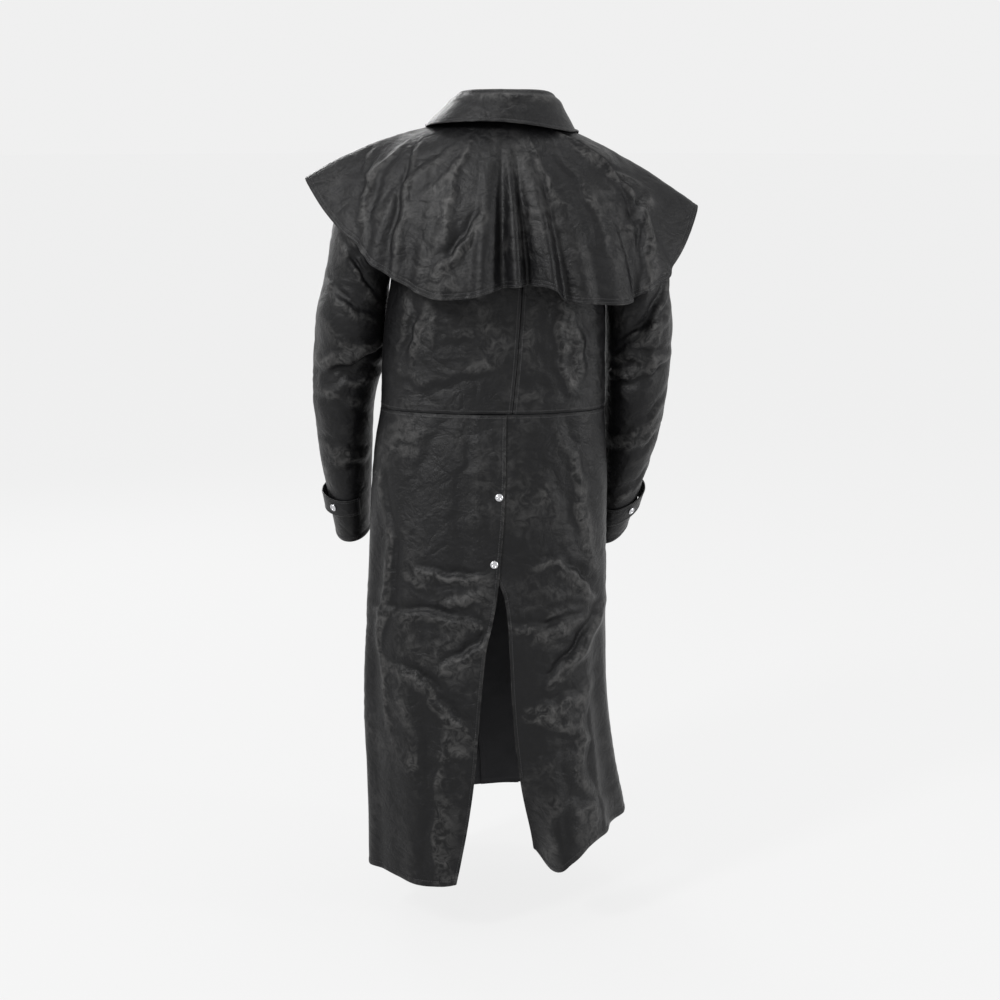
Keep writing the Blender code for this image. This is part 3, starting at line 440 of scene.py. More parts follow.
# Creases of the cape, in degrees round the neck and share of the way down
CapeCrease = namedtuple("CapeCrease", "degrees0 along0 degrees1 along1 width push skew")
CAPE_CREASES = table(
    CapeCrease,
    (13.0, 0.66, 29.0, 0.86, 0.008, -0.0040, 0.9),
    (38.0, 0.30, 60.0, 0.70, 0.010, -0.0020, 0.6),
    (60.0, 0.40, 52.0, 0.98, 0.009, -0.0034, 0.7),
    (70.0, 0.42, 62.0, 0.98, 0.009, 0.0030, 0.5),
    (76.0, 0.60, 68.0, 0.90, 0.007, -0.0024, 0.6),
    (84.0, 0.55, 70.0, 0.74, 0.007, -0.0022, 0.6),
    (30.0, 0.35, 42.0, 0.55, 0.010, -0.0014, 0.5),
    (22.0, 0.20, 26.0, 0.75, 0.012, 0.0016, 0.3),
    (-44.0, 0.10, -66.0, 0.66, 0.010, 0.0056, 0.5),
    (-52.0, 0.10, -74.0, 0.60, 0.008, 0.0040, 0.5),
    (-61.0, 0.56, -49.0, 0.98, 0.010, -0.0050, 0.8),
    (-70.0, 0.66, -58.0, 0.70, 0.010, -0.0060, 0.8),
    (-30.0, 0.30, -36.0, 0.80, 0.011, -0.0018, 0.5),
    (-20.0, 0.20, -26.0, 0.60, 0.009, 0.0020, 0.3),
    (120.0, 0.35, 112.0, 0.95, 0.010, -0.0030, 0.6),
    (138.0, 0.40, 142.0, 0.92, 0.010, -0.0024, 0.6),
    (-120.0, 0.35, -112.0, 0.95, 0.010, -0.0030, 0.6),
    (-138.0, 0.40, -143.0, 0.92, 0.010, -0.0024, 0.6),
    (98.0, 0.45, 106.0, 0.85, 0.009, -0.0026, 0.6),
    (-98.0, 0.45, -106.0, 0.85, 0.009, -0.0026, 0.6),
)

# Width and height of the panels in metres, from which columns and rows are counted
SPANS = {
    "back_upper": (0.19, 0.45),
    "back_skirt": (0.30, 0.74),
    "front": (0.32, 1.19),
    "cape": (1.50, 0.27),
}
# Where the waist and the underarm lie on a panel, as shares from its lower edge
UNDERARM_LEVEL = 0.44
FRONT_WAIST_LEVEL = 0.62
FRONT_UNDERARM_LEVEL = 0.79

# How finely the panels are made, and how their edges are finished
PITCH = 0.0050
BACK_PITCH = 0.0040
EDGE_STEPS = (0.0, 0.0012, 0.0026, 0.0040, 0.0052, 0.0064, 0.0078, 0.0095, 0.0120)
SEAM_DIP = 0.0011
SEAM_DIP_WIDTH = 0.0030
HEM_BAND_LIFT = 0.0005
HEM_BAND_SLOPE = 0.002
HEM_ROUNDING = 0.0007
GROOVE_DEPTH = 0.0006
GROOVE_WIDTH = 0.0011
STITCH_INSET = 0.0052
HEM_INSET = 0.0095
CUFF_INSET = 0.0078
TAB_INSET = 0.0040
CAPE_INSETS = (0.0040, 0.0095)
CLOSED_UV_STEP = 0.01

# How creases are shaped, and metres per degree round the sleeves and the cape
CREASE_CORE = 0.38
CREASE_GAIN = 1.7
BACK_FADE_Y = 0.035
FRONT_FADE_Y = 0.01
SIDE_FADE = 0.030
SLEEVE_COLUMNS = 76
SLEEVE_DEGREE = 0.00105
CAPE_LENGTH = 0.27
CAPE_DEGREE = 0.0036

# The snap caps: steps inwards over the top, as shares of the radius and the height,
# how deep a cap sits in the leather, and how far off its ray starts
SNAP_STEPS = (
    (0.16, 0.34), (0.14, 0.18), (0.12, 0.0), (0.10, -0.16),
    (0.05, -0.22), (0.10, 0.0), (0.08, 0.10), (0.10, 0.06),
)
SNAP_SINK = 0.0001
RAY_START = 0.5

# Stage
FLOOR_Z = -1.30
FLOOR_RADIUS = 40.0
LIGHTS = {
    "key": ((2.1, 2.1, 1.8), (0.5, 0.9), 105.0),
    "fill": ((-2.7, 1.0, 0.1), (0.4, 1.4), 34.0),
    "top": ((-0.3, -0.3, 2.6), (1.2, 0.8), 26.0),
    "front": ((1.4, -2.6, 0.8), (1.0, 1.6), 45.0),
}
WORLD_COLOUR = (0.87, 0.87, 0.87)
WORLD_STRENGTH = 1.0
BACKDROP_GLOW = 0.93
CAMERA_AZIMUTH = 180.0
CAMERA_ELEVATION = 12.0
CAMERA_DISTANCE = 3.2
CAMERA_LENS = 69.4
CAMERA_SENSOR = 36.0
CAMERA_CLIP_END = 200.0
CAMERA_TARGET = (0.0033, 0.0, -0.62)


def smooth(t):
    t = min(1.0, max(0.0, t))
    return t * t * (3.0 - 2.0 * t)


def mix(a, b, t):
    return a + (b - a) * t


def hump(value, middle, half_width):
    """A soft bump, 1 at the middle and 0 at either side."""
    d = (value - middle) / half_width
    return 0.0 if abs(d) >= 1.0 else 0.5 + 0.5 * math.cos(math.pi * d)


def read(rows, column, at, key=0):
    """The value of a table's column at a place between its rows, on a smooth curve."""
    known = COLUMNS.get((id(rows), column))
    if known is None:
        keys = [row[key] for row in rows]
        values = [getattr(row, column) for row in rows]
        slopes = []
        for n in range(len(keys)):
            lo, hi = max(0, n - 1), min(len(keys) - 1, n + 1)
            slopes.append((values[hi] - values[lo]) / (keys[hi] - keys[lo]))
        known = COLUMNS[id(rows), column] = (keys, values, slopes)
    keys, values, slopes = known
    at = min(keys[-1], max(keys[0], at))
    i = min(len(keys) - 2, max(0, bisect_left(keys, at) - 1))
    span = keys[i + 1] - keys[i]
    t = (at - keys[i]) / span
    a = (1 + 2 * t) * (1 - t) ** 2
    b = t * (1 - t) ** 2
    c = t * t * (3 - 2 * t)
    d = t * t * (t - 1)
    return a * values[i] + b * span * slopes[i] + c * values[i + 1] + d * span * slopes[i + 1]


def signed_power(value, power):
    return math.copysign(abs(value) ** power, value)


def ring_frame(z, angle):
    """Centre, half width, widest Y, depth and power of the body's ring on this side."""
    left, right = read(BODY, "left", z), read(BODY, "right", z)
    wide = read(BODY, "wide_left" if math.sin(angle) >= 0 else "wide_right", z)
    at_back = math.cos(angle) >= 0
    end = read(BODY, "back" if at_back else "front", z)
    power = BACK_POWER if at_back else FRONT_POWER
    return (left + right) / 2, (left - right) / 2, wide, abs(end - wide), power


def angle_of(z, x, at_back=True):
    """The angle round the body's ring where the cloth has this X."""
    middle, half, _, _, power = ring_frame(z, 0.0 if at_back else math.pi)
    s = signed_power((x - middle) / half, power / 2)
    angle = math.asin(max(-1.0, min(1.0, s)))
    return angle if at_back else math.pi - angle


def fold_push(z, angle):
    """How far the skirt's folds move the cloth at this place."""
    total = 0.0
    for fold in SKIRT_FOLDS:
        grown = smooth((fold.top - z) / FOLD_GROWTH)
        middle = fold.angle + fold.drift * grown
        turn = (math.degrees(angle) - middle + 180.0) % 360.0 - 180.0
        total += fold.push * grown * hump(turn, 0.0, fold.width)
    return total


def body_point(z, angle):
    """A point of the coat's outer surface on the body's ring at this height."""
    middle, half, wide, depth, power = ring_frame(z, angle)
    s, c = math.sin(angle), math.cos(angle)
    out = fold_push(z, angle)
    x = middle + half * signed_power(s, 2 / power) + out * s
    y = wide + depth * signed_power(c, 2 / power) + out * c
    return Vector((x, y, z))


def hem_z(angle):
    return read(HEM, "z", math.degrees(angle))


def neck_point(degrees, out=0.0, up=0.0):
    """A point at the neck seam, moved out and up from it."""
    a = math.radians(degrees)
    depth = NECK_BACK if math.cos(a) >= 0 else NECK_FRONT
    drop = NECK_DROP * ((1 - math.cos(a)) / 2) ** 3
    x = (NECK_HALF_WIDTH + out) * math.sin(a)
    y = NECK_Y + (depth + out) * math.cos(a)
    return Vector((x, y, drop + up))


def underarm(side):
    return body_point(UNDERARM_Z, side * SIDE_ANGLE)


def armhole_point(side, degrees):
    """A point of the armhole: 0 at the shoulder tip, 90 at the back, 180 underarm."""
    a = math.radians(degrees)
    top, low = Vector(SHOULDER_TIP[side]), underarm(side)
    point = top * (1 + math.cos(a)) / 2 + low * (1 - math.cos(a)) / 2
    point.y += ARMHOLE_HALF_DEPTH * math.sin(a)
    point.x -= side * ARMHOLE_WAIST_IN * math.sin(a) ** 2
    return point


def yoke_point(side, across, up, at_back):
    """The body above the underarm: across 0 at the middle and 1 at the armhole.

    Across runs below 0 where a panel laps past the middle.
    """
    facing = 1 if at_back else -1
    middle_x = BACK_SEAM[-1].x if at_back else body_point(UNDERARM_Z, math.pi).x
    start = body_point(UNDERARM_Z, angle_of(UNDERARM_Z, middle_x, at_back))
    neck = neck_point(NECK_SEAM_ANGLE if at_back else 180.0)
    middle = start.lerp(neck, up)
    middle.y = mix(start.y, neck.y, up ** 2.2) + facing * 0.016 * math.sin(math.pi * up)
    edge = armhole_point(side, facing * 180.0 * (1 - up))
    power = BACK_POWER if at_back else FRONT_POWER
    share = signed_power(math.sin(across * math.pi / 2), 2 / power)
    flat = abs(share) ** power
    point = Vector((
        mix(middle.x, edge.x, share),
        edge.y + (middle.y - edge.y) * (1 - min(1.0, flat)) ** (1 / power),
        mix(middle.z, edge.z, share * share),
    ))
    seam = Vector((0.0, facing * SEAM_GAP, 0.0))
    if across < NECK_SHARE:
        t = across / NECK_SHARE
        first = NECK_SEAM_ANGLE * side if at_back else 180.0
        top = neck_point(side * mix(first, NECK_POINT_ANGLE, t)) + seam * smooth(t)
    else:
        t = (across - NECK_SHARE) / (1 - NECK_SHARE)
        top = neck_point(side * NECK_POINT_ANGLE).lerp(Vector(SHOULDER_TIP[side]), t) + seam
    return point.lerp(top, smooth((up - 0.35) / 0.65))


def sleeve_point(side, along, degrees, lift=0.0):
    """A point of the sleeve: along 0 at the armhole and 1 at the cuff."""
    keyed = SLEEVE_KEYS[side]
    last = len(keyed) - 1

    def edge(which, where):
        x, y, z = (read(keyed, column, where) for column in (which + "_x", "y", which + "_z"))
        return Vector((x, y, z))

    at = along * last
    outer, inner = edge("outer", at), edge("inner", at)
    before, after = max(at - 0.2, 0.0), min(at + 0.2, last)
    way = edge("outer", after) + edge("inner", after)
    way = way - edge("outer", before) - edge("inner", before)
    way.normalize()
    back = Vector((0.0, 1.0, 0.0))
    back = (back - way * back.dot(way) * smooth(along / 0.3)).normalized()
    a = math.radians(degrees)
    push = lift
    for bulge in SLEEVE_BULGES[side]:
        turn = (degrees - bulge.angle + 180.0) % 360.0 - 180.0
        push += bulge.push * hump(along, bulge.along, bulge.length) * hump(turn, 0.0, bulge.width)
    half = (outer - inner) / 2
    point = (outer + inner) / 2 + half * math.cos(a) + half.normalized() * push * math.cos(a)
    point += back * (read(keyed, "deep", at) + push) * math.sin(a)
    start = 1 - smooth(along / 0.12)
    point.x += side * start * (ARMHOLE_SEAM - ARMHOLE_WAIST_IN * math.sin(a) ** 2)
    return point


def cape_point(degrees, down):
    """A point of the cape: down 0 at the neck and 1 at the hem."""
    over_front = smooth((abs(degrees) - 80.0) / 50.0)
    start = neck_point(degrees, out=0.0008 + 0.003 * over_front, up=0.0031 + 0.0053 * over_front)
    bend = Vector([read(CAPE, "bend_" + axis, degrees) for axis in "xyz"])
    hem = Vector([read(CAPE, "hem_" + axis, degrees) for axis in "xyz"])
    point = start * (1 - down) ** 2 + bend * 2 * down * (1 - down) + hem * down * down
    outward = Vector((hem.x, hem.y, 0.0)).normalized()
    push = 0.0
    for flute in CAPE_FLUTES:
        grown = smooth((down - flute.start) / (1.05 - flute.start))
        middle = flute.angle + flute.lean * grown
        push += flute.push * grown * hump(degrees, middle, flute.width)
    return point + outward * push


def cape_rise(degrees, out):
    """Height of the cape's surface over the neck seam, this far out from it."""
    if degrees not in CAPE_PROFILES:
        seam = neck_point(degrees)
        points = [cape_point(degrees, n / 100) for n in range(60)]
        outs = [math.hypot(p.x - seam.x, p.y - seam.y) for p in points]
        CAPE_PROFILES[degrees] = (outs, [p.z - seam.z for p in points])
    return float(np.interp(out, *CAPE_PROFILES[degrees]))


def collar_point(degrees, row):
    """A point of the collar's fall, which comes to rest on the cape at the sides."""
    turn = abs(degrees)
    side_share = smooth(turn / 80.0) * (1 - smooth((turn - 95.0) / 60.0))
    point_share = smooth((turn - 80.0) / 75.0)
    out = row.out + row.side_out * side_share + row.point_out * point_share
    up = row.up + row.side_up * side_share + row.point_up * point_share
    high = smooth((row.up + 0.002) / 0.05)
    if degrees > 0:
        out -= COLLAR_LEFT_IN * high * side_share
    up += COLLAR_LEAN * math.sin(math.radians(degrees)) * (1 - high)
    if out > 0.004:
        up = max(up, cape_rise(degrees, out) + COLLAR_CLEARANCE * (1 + point_share))
    return neck_point(degrees, out, up)


def edge_steps(length, low, high, pitch=PITCH):
    """Places from 0 to 1 along a panel, close together at the edges that are sewn."""
    places = [0.0] if not low else [s / length for s in EDGE_STEPS]
    end = [1.0] if not high else [1.0 - s / length for s in reversed(EDGE_STEPS)]
    count = max(2, round((end[0] - places[-1]) * length / pitch))
    middle = [mix(places[-1], end[0], i / count) for i in range(1, count)]
    return places + middle + end


def crease_push(across, along, creases):
    """Height of the creases at places given by two arrays, in metres."""
    total = np.zeros_like(across)
    for n, crease in enumerate(creases):
        x0, z0, x1, z1, width, push, skew = crease
        length = math.hypot(x1 - x0, z1 - z0)
        way = ((x1 - x0) / length, (z1 - z0) / length)
        s = (across - x0) * way[0] + (along - z0) * way[1]
        d = (across - x0) * -way[1] + (along - z0) * way[0]
        t = np.clip(s / length, 0.0, 1.0)
        bow = 0.07 if n % 2 else -0.07
        d = d + bow * length * np.sin(math.pi * t) + 0.25 * width * np.sin(5.0 * math.pi * t + n)
        past = np.maximum(0.0, np.maximum(-s, s - length)) / (1.5 * width)
        ends = np.exp(-past * past) * (0.45 + 0.55 * np.sin(math.pi * t))
        core = np.exp(-np.abs(d / (CREASE_CORE * width)))
        fold = 0.45 * np.exp(-(d / width) ** 2) + 0.55 * core
        beside = np.exp(-((d - 1.2 * width) / (0.9 * width)) ** 2)
        total += CREASE_GAIN * push * ends * (fold - skew * beside)
    return total


def waver(points):
    """The leather's small unevenness: broad swells, short wrinkles and fine ones."""
    flat = points.reshape(-1, 3)
    out = np.empty(len(flat))
    for i, (x, y, z) in enumerate(flat):
        broad = noise.noise((x * 17, y * 17, z * 11))
        here = 0.5 + noise.noise((x * 9 + 2.0, y * 9, z * 7))
        wrinkle = 1.0 - 2.2 * abs(noise.noise((x * 30 + 4.0, y * 30, z * 46)))
        fine = 1.0 - 2.0 * abs(noise.noise((x * 72, y * 72 + 7.0, z * 110)))
        out[i] = 0.0016 * broad + here * (0.0009 * wrinkle + 0.0003 * fine)
    return out.reshape(points.shape[:2])


def grid_normals(points, closed, outward):
    """Unit normals of a grid of points, on the side that outward names."""
    if closed:
        padded = np.concatenate([points[:, -1:], points, points[:, :1]], axis=1)
        across = (padded[:, 2:] - padded[:, :-2])
    else:
        across = np.gradient(points, axis=1)
    along = np.gradient(points, axis=0)
    normals = np.cross(across, along) * outward
    size = np.linalg.norm(normals, axis=2, keepdims=True)
    return normals / np.maximum(size, 1e-12)


def distances(points, closed):
    """Distance of each point from the panel's four edges, along its rows and columns."""
    row = np.linalg.norm(np.diff(points, axis=1), axis=2)
    column = np.linalg.norm(np.diff(points, axis=0), axis=2)
    left = np.concatenate([np.zeros((len(points), 1)), np.cumsum(row, axis=1)], axis=1)
    top = np.concatenate([np.zeros((1, points.shape[1])), np.cumsum(column, axis=0)], axis=0)
    far = np.full(points.shape[:2], 1.0)
    return {
        "left": far if closed else left,
        "right": far if closed else left[:, -1:] - left,
        "first": top,
        "last": top[-1:] - top,
    }


class Panel:
    """A sheet of leather on a grid of points, with its seams, hems and stitching."""

    def __init__(self, name, points, closed=False, outward=1, seams=(), hems=()):
        self.name = name
        self.closed = closed
        self.outward = outward
        self.seams = seams
        self.hems = hems
        self.points = np.array(points, float)
        self.normals = grid_normals(self.points, closed, outward)
        self.reach = distances(self.points, closed)
        self.push = np.zeros(self.points.shape[:2])

    def crease(self, height):
        self.push = self.push + height

    def finish_edges(self):
        """Dips the cloth into its seams and gives each hem a stitched band."""
        for edge in self.seams:
            d = self.reach[edge]
            self.push = self.push - SEAM_DIP * np.exp(-(d / SEAM_DIP_WIDTH) ** 2)
        for edge, insets in self.hems:
            d = self.reach[edge]
            band = np.clip((insets[0] - d) / HEM_BAND_SLOPE + 0.5, 0.0, 1.0)
            round_off = np.exp(-(d / GROOVE_WIDTH) ** 2)
            self.push = self.push + HEM_BAND_LIFT * band - HEM_ROUNDING * round_off
            for inset in insets:
                self.push = self.push - GROOVE_DEPTH * np.exp(-((d - inset) / GROOVE_WIDTH) ** 2)

    def shaped(self):
        return self.points + self.normals * self.push[..., None]

    def line(self, edge, inset):
        """Points and normals along an edge, this far in from it."""
        points, reach = self.shaped(), self.reach[edge]
        if edge in ("left", "right"):
            lines = [(points[r], self.normals[r], reach[r]) for r in range(len(points))]
        else:
            lines = [(points[:, c], self.normals[:, c], reach[:, c])
                     for c in range(points.shape[1])]
        out = []
        for place, normal, d in lines:
            order = np.argsort(d)
            spot = [np.interp(inset, d[order], place[order, k]) for k in range(3)]
            up = [np.interp(inset, d[order], normal[order, k]) for k in range(3)]
            out.append((Vector(spot), Vector(up).normalized()))
        if self.closed and edge in ("first", "last"):
            out.append(out[0])
        return out

    def square_walls(self, keep_out):
        """The directions in which the wall's inside lies, kept out of an axis at seams."""
        ways = grid_normals(self.shaped(), self.closed, self.outward)
        ways = 0.5 * ways + 0.5 * self.normals
        for rows, columns, axis in keep_out:
            ways[rows, columns, axis] = 0.0
        return ways / np.linalg.norm(ways, axis=2, keepdims=True)

    def build(self, leather, inside, keep_out=()):
        """The closed wall, as one object: leather outside and the plain side inside."""
        outer = self.shaped()
        inner = outer - self.square_walls(keep_out) * WALL
        height, width = outer.shape[:2]
        count = height * width
        index = np.arange(count).reshape(height, width)
        across = np.concatenate([index, index[:, :1]], axis=1) if self.closed else index
        a, b = across[:-1, :-1].ravel(), across[:-1, 1:].ravel()
        c, d = across[1:, 1:].ravel(), across[1:, :-1].ravel()
        faces = np.stack([a, b, c, d], axis=1)
        if self.outward < 0:
            faces = faces[:, ::-1]
        rims = [(across[0, :-1], across[0, 1:]), (across[-1, 1:], across[-1, :-1])]
        if not self.closed:
            rims += [(across[1:, 0], across[:-1, 0]), (across[:-1, -1], across[1:, -1])]
        edge = []
        for start, end in rims:
            quad = np.stack([end, start, start + count, end + count], axis=1)
            edge.append(quad if self.outward > 0 else quad[:, ::-1])
        edge = np.concatenate(edge)
        back = faces[:, ::-1] + count
        name = "coat_" + self.name
        mesh = bpy.data.meshes.new(name)
        verts = np.concatenate([outer.reshape(-1, 3), inner.reshape(-1, 3)])
        quads = np.concatenate([faces, edge, back])
        mesh.from_pydata(verts.tolist(), [], quads.tolist())
        mesh.materials.append(leather)
        mesh.materials.append(inside)
        slots = np.zeros(len(quads), np.int32)
        slots[len(faces) + len(edge):] = 1
        mesh.polygons.foreach_set("material_index", slots)
        # Share of the paler colour: a painted sheen on the raised crease ridges, and real scuffing
        # along hem edges and beside seams
        worn = np.clip(0.5 + self.push / 0.004, 0.0, 1.0)
        for edge_name, _ in self.hems:
            worn = np.maximum(worn, 0.95 * np.exp(-(self.reach[edge_name] / 0.0016) ** 2))
        for edge_name in self.seams:
            worn = np.maximum(worn, 0.8 * np.exp(-((self.reach[edge_name] - 0.004) / 0.0016) ** 2))
        wear = mesh.attributes.new("wear", "FLOAT", "POINT")
        wear.data.foreach_set("value", np.concatenate([worn.ravel(), worn.ravel() * 0.0]))
        uv = mesh.uv_layers.new(name="cloth")
        left = self.reach["left"]
        if self.closed:
            left = np.tile(np.arange(width) * CLOSED_UV_STEP, (height, 1))
        flat = np.stack([left.ravel(), self.reach["first"].ravel()], axis=1)
        flat = np.concatenate([flat, flat])
        corners = np.empty(len(mesh.loops), np.int32)
        mesh.loops.foreach_get("vertex_index", corners)
        uv.data.foreach_set("uv", flat[corners].ravel())
        mesh.update()
        piece = bpy.data.objects.new(name, mesh)
        bpy.context.scene.collection.objects.link(piece)
        mesh.shade_smooth()
        ride(piece)
        return piece


def ride(piece):
    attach(piece, "root")


def stitch_shape():
    """One thread stitch, a short six-sided bead that lies along X."""
    bpy.ops.object.select_all(action="DESELECT")
    bpy.ops.mesh.primitive_uv_sphere_add(segments=6, ring_count=4, radius=1.0)
    bead = bpy.context.object
    bead.rotation_euler = (0.0, math.pi / 2, 0.0)
    bpy.ops.object.transform_apply(location=True, rotation=True, scale=True)
    bead.data.calc_loop_triangles()
    verts = np.array([v.co[:] for v in bead.data.vertices])
    faces = [tuple(p.vertices) for p in bead.data.polygons]
    mesh = bead.data
    bpy.data.objects.remove(bead)
    bpy.data.meshes.remove(mesh)
    return verts, faces


def stitching(name, lines, sizes, thread):
    """Rows of stitches along lines of points and normals, as one piece."""
    bead, bead_faces = stitch_shape()
    half = np.array([sizes.stitch_length / 2, sizes.thread / 2, sizes.thread * 0.36])
    verts, faces = [], []
    for line in lines:
        travelled = sizes.stitch_pitch / 2
        for (start, up0), (end, up1) in zip(line, line[1:]):
            step = (end - start).length
            while travelled < step:
                t = travelled / step
                spot, up = start.lerp(end, t), up0.lerp(up1, t).normalized()
                along = (end - start).normalized()
                side = up.cross(along).normalized()
                turn = np.array([along[:], side[:], up[:]])
                centre = np.array(spot[:]) + np.array(up[:]) * sizes.thread * 0.18
                faces.extend(tuple(i + len(verts) for i in face) for face in bead_faces)
                verts.extend((bead * half) @ turn + centre)
                travelled += sizes.stitch_pitch
            travelled -= step
    mesh = bpy.data.meshes.new(name)
    mesh.from_pydata([tuple(v) for v in verts], [], faces)
    mesh.materials.append(thread)
    mesh.shade_smooth()
    piece = bpy.data.objects.new(name, mesh)
    bpy.context.scene.collection.objects.link(piece)
    ride(piece)
    return piece


def side_name(stem, side):
    return f"{stem}_{'left' if side > 0 else 'right'}"


KeyedCollarRow = namedtuple("KeyedCollarRow", ("at",) + CollarRow._fields)
COLLAR_KEYS = [KeyedCollarRow(n, *row) for n, row in enumerate(COLLAR_ROWS)]


def nearest_set(places, value):
    """The list with its place nearest to a value moved onto it."""
    n = min(range(len(places)), key=lambda i: abs(places[i] - value))
    return places[:n] + [value] + places[n + 1:]


def back_upper_panel(side):
    """Half of the upper back, from the waist seam to the shoulder."""
    split = UNDERARM_LEVEL
    width, height = SPANS["back_upper"]
    columns = nearest_set(edge_steps(width, True, True, BACK_PITCH), NECK_SHARE)
    levels = nearest_set(edge_steps(height, True, True, BACK_PITCH), split)
    rows = []
    for level in levels:
        if level <= split:
            z = mix(WAIST_Z + SEAM_GAP, UNDERARM_Z, level / split)
            first = angle_of(z, read(BACK_SEAM, "x", z) + side * SEAM_GAP)
            last = side * (SIDE_ANGLE - SIDE_GAP_ANGLE)
            rows.append([body_point(z, mix(first, last, t)) for t in columns])
        else:
            up = (level - split) / (1 - split)
            row = [yoke_point(side, t, up, True) for t in columns]
            for n, t in enumerate(columns):
                row[n].x += side * mix(SEAM_GAP, 3 * SEAM_GAP, up) * max(0.0, 1 - 12 * t)
            rows.append(row)
    name = side_name("back_upper", side)
    panel = Panel(name, rows, outward=-side, seams=("left", "right", "first", "last"))
    body_creases(panel, True)
    waist = sum(level <= split for level in levels)
    neck = columns.index(NECK_SHARE)
    square = (
        (slice(None), 0, 0),
        (0, slice(None), 2),
        (slice(0, waist), -1, 1),
        (-1, slice(neck, None), 1),
    )
    return panel, square, (("left", STITCH_INSET), ("first", STITCH_INSET))


def back_skirt_panel(side):
    """Half of the back skirt, with its edge of the vent."""
    column = "left_edge" if side > 0 else "right_edge"
    width, height = SPANS["back_skirt"]
    columns = edge_steps(width, True, True, BACK_PITCH)
    rows = []
    for down in edge_steps(height, True, True, BACK_PITCH):
        z_level = mix(WAIST_Z - SEAM_GAP / 2, HEM_LEVEL, down)
        first = angle_of(z_level, read(VENT, column, z_level))
        last = side * (SIDE_ANGLE - SKIRT_GAP_ANGLE)
        row = []
        for across in columns:
            angle = mix(first, last, across)
            z = mix(WAIST_Z - SEAM_GAP / 2, hem_z(angle), down)
            point = body_point(z, angle)
            lap = smooth((VENT_LAP - point.x) / LAP_RAMP) if side > 0 else 0.0
            closed = smooth((z - VENT_CLOSED_Z + VENT_CLOSING) / VENT_CLOSING)
            point.y += LAP_LIFT * lap * max(closed, 0.3)
            if side < 0:
                reach = smooth(1.0 - (read(VENT, "right_edge", z) - point.x) / CURL_REACH)
                point.y -= read(VENT, "curl", z) * reach
            row.append(point)
        rows.append(row)
    name = side_name("back_skirt", side)
    hems = (("left", (STITCH_INSET,)), ("last", (HEM_INSET,)))
    panel = Panel(name, rows, outward=side, seams=("first", "right"), hems=hems)
    body_creases(panel, True)
    square = ((0, slice(None), 2), (slice(None), -1, 1))
    return panel, square, (("left", STITCH_INSET), ("last", HEM_INSET), ("first", STITCH_INSET))


def front_panel(side):
    """One front, from the hem to the shoulder."""
    lift = Vector((0.0, -0.9, 0.45)) * LAP_LIFT
    width, height = SPANS["front"]
    skirt, waist = FRONT_WAIST_LEVEL, FRONT_UNDERARM_LEVEL
    end = FRONT_PAST_MIDDLE
    columns = [mix(1.0, end, t) for t in edge_steps(width, True, True)]
    columns = nearest_set(columns, NECK_SHARE)
    levels = nearest_set(nearest_set(edge_steps(height, True, True), skirt), waist)
    rows = []
    for level in levels:
        if level > waist:
            up = (level - waist) / (1 - waist)
            row = [yoke_point(side, across, up, False) for across in columns]
            if side > 0:
                row = [p + lift * smooth((FRONT_LAP_REACH - p.x) / LAP_RAMP) for p in row]
            rows.append(row)
            continue
        if level <= skirt:
            z_level = mix(HEM_LEVEL, WAIST_Z, level / skirt)
        else:
            z_level = mix(WAIST_Z, UNDERARM_Z, (level - skirt) / (waist - skirt))
        middle_x = body_point(z_level, math.pi).x
        first = side * (SIDE_ANGLE + SIDE_GAP_ANGLE)
        last = side * angle_of(z_level, middle_x - FRONT_LAP, False)
        row = []
        for across in columns:
            angle = mix(first, last, (1 - across) / (1 - end))
            z = mix(hem_z(angle), WAIST_Z, level / skirt) if level <= skirt else z_level
            point = body_point(z, angle)
            if side > 0:
                point.y -= LAP_LIFT * smooth((FRONT_LAP_REACH + middle_x - point.x) / LAP_RAMP)
            row.append(point)
        rows.append(row)
    name = side_name("front", side)
    hems = (("right", (STITCH_INSET,)), ("first", (HEM_INSET,)))
    panel = Panel(name, rows, outward=-side, seams=("left", "last"), hems=hems)
    body_creases(panel, False)
    under = sum(level <= waist for level in levels)
    neck = columns.index(NECK_SHARE)
    square = ((slice(0, under), 0, 1), (-1, slice(0, neck + 1), 1))
    return panel, square, (("right", STITCH_INSET), ("first", HEM_INSET))


def flat_creases(rows, degree, length_down):
    """Creases given in degrees and share of the length, laid out in metres."""
    return [
        Crease(c.degrees0 * degree, c.along0 * length_down,
               c.degrees1 * degree, c.along1 * length_down, c.width, c.push, c.skew)
        for c in rows
    ]


def sleeve_creases(side, degrees, along):
    """Height of the sleeve's creases, for arrays of degrees and of share of the length."""
    creases = flat_creases(SLEEVE_CREASES[side], SLEEVE_DEGREE, SLEEVE_LENGTH)
    total = 0.0
    for turn in (0.0, 360.0):
        around = (degrees - turn) * SLEEVE_DEGREE
        total = total + crease_push(around, along * SLEEVE_LENGTH, creases)
    return total


def sleeve_panel(side):
    """A sleeve, as a tube from the armhole to the cuff."""
    turns = [i * 360.0 / SLEEVE_COLUMNS for i in range(SLEEVE_COLUMNS)]
    levels = edge_steps(0.62, True, True)
    rows = [[sleeve_point(side, along, d) for d in turns] for along in levels]
    hems = (("last", (CUFF_INSET,)),)
    panel = Panel(side_name("sleeve", side), rows, True, -side, ("first",), hems)
    degrees, along = np.meshgrid(np.array(turns), np.array(levels))
    ends = np.clip(along / 0.10, 0.0, 1.0) * np.clip((1.0 - along) / 0.06, 0.0, 1.0)
    panel.crease(sleeve_creases(side, degrees, along) * ends * depth_of_creases())
    panel.crease(waver(panel.points) * depth_of_creases())
    return panel, (), (("last", CUFF_INSET),)


